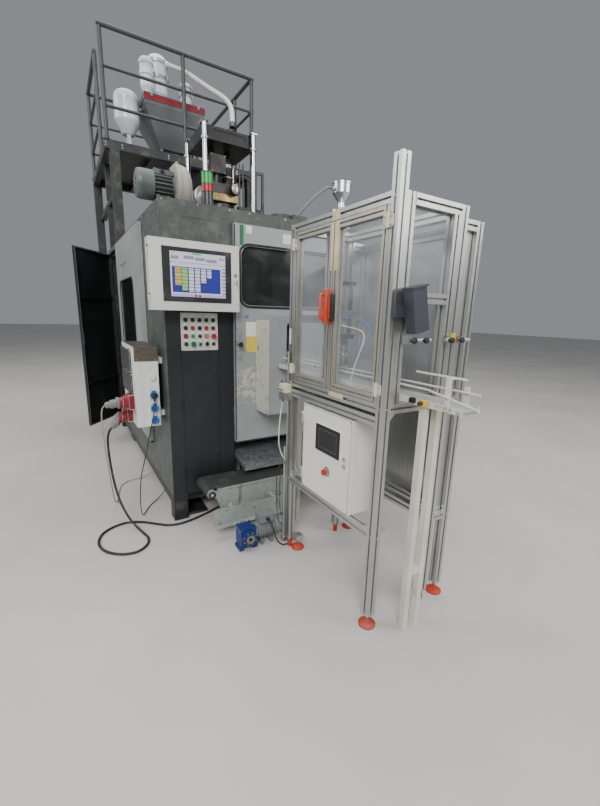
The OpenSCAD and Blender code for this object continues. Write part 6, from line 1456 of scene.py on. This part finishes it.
# cords between places on the machine: each goes back into it at its far end
links = {
    "plugCord": {"diameter": 9, "colour": srgb(176, 160, 138), "lay": "loose", "points": [
        (-1277, -960, 868), (-1292, -960, 850), (-1300, -956, 800), (-1300, -945, 700), (-1294, -920, 560),
        (-1282, -880, 400), (-1268, -830, 240), (-1254, -770, 110), (-1238, -700, 36), (-1218, -620, 8),
        (-1200, -520, 6), (-1180, -420, 6), (-1150, -330, 4.5), (-1095, -270, 4.5), (-1020, -250, 4.5),
        (-950, -245, 12), (-895, -240, 40), (-850, -236, 80), (-810, -234, 120)]},
    "socketCord": {"diameter": 7, "colour": srgb(34, 34, 36), "lay": "loose", "points": [
        (-975, -1070, 891), (-975, -1070, 876), (-976, -1072, 860), (-984, -1082, 830), (-1004, -1102, 760),
        (-1032, -1114, 660), (-1064, -1110, 520), (-1096, -1096, 380), (-1108, -1070, 240),
        (-1106, -1036, 110), (-1092, -990, 30), (-1066, -930, 6), (-1030, -860, 5), (-990, -800, 5),
        (-945, -760, 11), (-905, -740, 34), (-865, -732, 80), (-830, -728, 120)]},
    "bayHose": {"diameter": 12, "colour": srgb(30, 31, 32), "lay": "hanging", "points": [
        (72, -2450, 1610), (84, -2450, 1610), (103, -2450, 1606), (119.5, -2450, 1595), (130.5, -2450, 1579),
        (135, -2450, 1558), (146, -2450, 1480), (154, -2450, 1400), (158, -2450, 1310), (157, -2450, 1240),
        (151, -2450, 1190), (146, -2450, 1160), (144, -2450, 1145), (144, -2450, 1131)]},
    "blueLoop": {"diameter": 6, "colour": srgb(56, 112, 196), "lay": "hanging", "points": [
        (-219, -2080, 1500), (-219, -2096, 1498), (-216, -2130, 1494), (-210, -2180, 1492),
        (-204, -2240, 1486), (-202, -2300, 1474), (-206, -2344, 1446), (-214, -2352, 1410),
        (-220, -2328, 1378), (-224, -2280, 1352), (-226, -2230, 1334), (-226, -2190, 1322),
        (-224, -2176, 1306), (-222, -2171, 1304)]},
    "whiteLoop": {"diameter": 6, "colour": srgb(214, 216, 212), "lay": "hanging", "points": [
        (-232, -2080, 1470), (-234, -2100, 1466), (-238, -2150, 1456), (-240, -2210, 1446),
        (-240, -2280, 1440), (-240, -2336, 1424), (-244, -2352, 1390), (-250, -2340, 1340),
        (-254, -2310, 1270), (-256, -2290, 1200), (-256, -2282, 1160), (-256, -2280, 1140), (-256, -2280, 1131)]},
    "legCable": {"diameter": 8, "colour": srgb(222, 220, 212), "lay": "hanging", "points": [
        (-352, -1750, 997), (-352, -1750, 975), (-354, -1746, 930), (-358, -1738, 860), (-360, -1730, 780),
        (-356, -1722, 700), (-346, -1722, 650), (-334, -1730, 610), (-326, -1738, 594), (-322, -1742, 591)]},
    "legWireOuter": {"diameter": 5, "colour": srgb(40, 40, 42), "lay": "hanging", "points": [
        (-338, -1742, 560), (-346, -1741, 556), (-360, -1738, 540), (-370, -1736, 505), (-376, -1736, 440),
        (-377, -1738, 350), (-374, -1741, 260), (-368, -1744, 190), (-358, -1746, 150), (-346, -1747, 134),
        (-338, -1747, 130)]},
    "legWireInner": {"diameter": 5, "colour": srgb(52, 50, 48), "lay": "hanging", "points": [
        (-338, -1750, 520), (-345, -1751, 516), (-356, -1754, 500), (-362, -1757, 460), (-364, -1758, 390),
        (-362, -1758, 310), (-358, -1756, 250), (-352, -1753, 220), (-344, -1751, 207), (-338, -1750, 204)]},
    "motorCord": {"diameter": 9, "colour": srgb(30, 30, 31), "lay": "loose", "points": [
        (-430.8, -1737, 178), (-430.8, -1752, 176), (-429, -1768, 168), (-424, -1784, 140), (-414, -1796, 96),
        (-396, -1804, 50), (-366, -1806, 18), (-326, -1800, 7), (-282, -1780, 5.5), (-250, -1740, 4.5),
        (-238, -1690, 4.5), (-240, -1630, 4.5), (-252, -1570, 4.5), (-262, -1500, 4.5), (-268, -1420, 4.5),
        (-270, -1330, 4.5), (-270, -1240, 4.5), (-270, -1160, 12), (-270, -1110, 40), (-270, -1095, 90),
        (-270, -1092, 118)]},
}


def makeLink(name, c, exitPieces=()):
    # an even tube along the route, with its own colour
    way, _ = evenPath(c["points"], 6)
    thing = makePiece(name, Shell().add(tube(way, c["diameter"]/2, 10)), [rubberSkin(name + "Skin", c["colour"], .5)],
                      "machine", 80)
    c["diameter"]/1000


for name, link in links.items():
    makeLink(name, link, [blackPlug] if name == "socketCord" else ())

# glands that hold the ends of the links: profile, place, axis, way that it points, sides, finish
glands = [
    (gland(10, 6, 18), (66.5, -2450, 1610), 0, 1, 18, 0), (gland(11, 8, 22), (144, -2450, 1130.2), 2, 1, 18, 0),
    (gland(8, 5, 14), (-256, -2280, 1130.2), 2, 1, 18, 1), (gland(7, 5, 13, 1.5), (-222, -2170, 1304), 1, -1, 16, 1),
    (gland(7, 5, 13, 1.5), (-219, -2080, 1500), 1, -1, 16, 1),
    (gland(7, 5, 13, 1.5), (-232, -2080, 1470), 1, -1, 16, 1),
    (gland(9, 5, 16), (-352, -1762, 995), 2, -1, 18, 0),
]


def makeGlands(rows):
    # the two loops start from a block of their own
    s = Shell().add(block((-262, -2080, 1460), (-206, -2072, 1512), 2), 2)
    for profile, at, axis, out, n, tag in rows:
        s.add(moved(flipped(turned(profile, axis=axis, n=n), axis, out), at), tag)
    makePiece("linkGlands", s, [blackPlastic, boltSteel, darkSteel], "machine", 40)


makeGlands(glands)
print("links laid,", len(links))
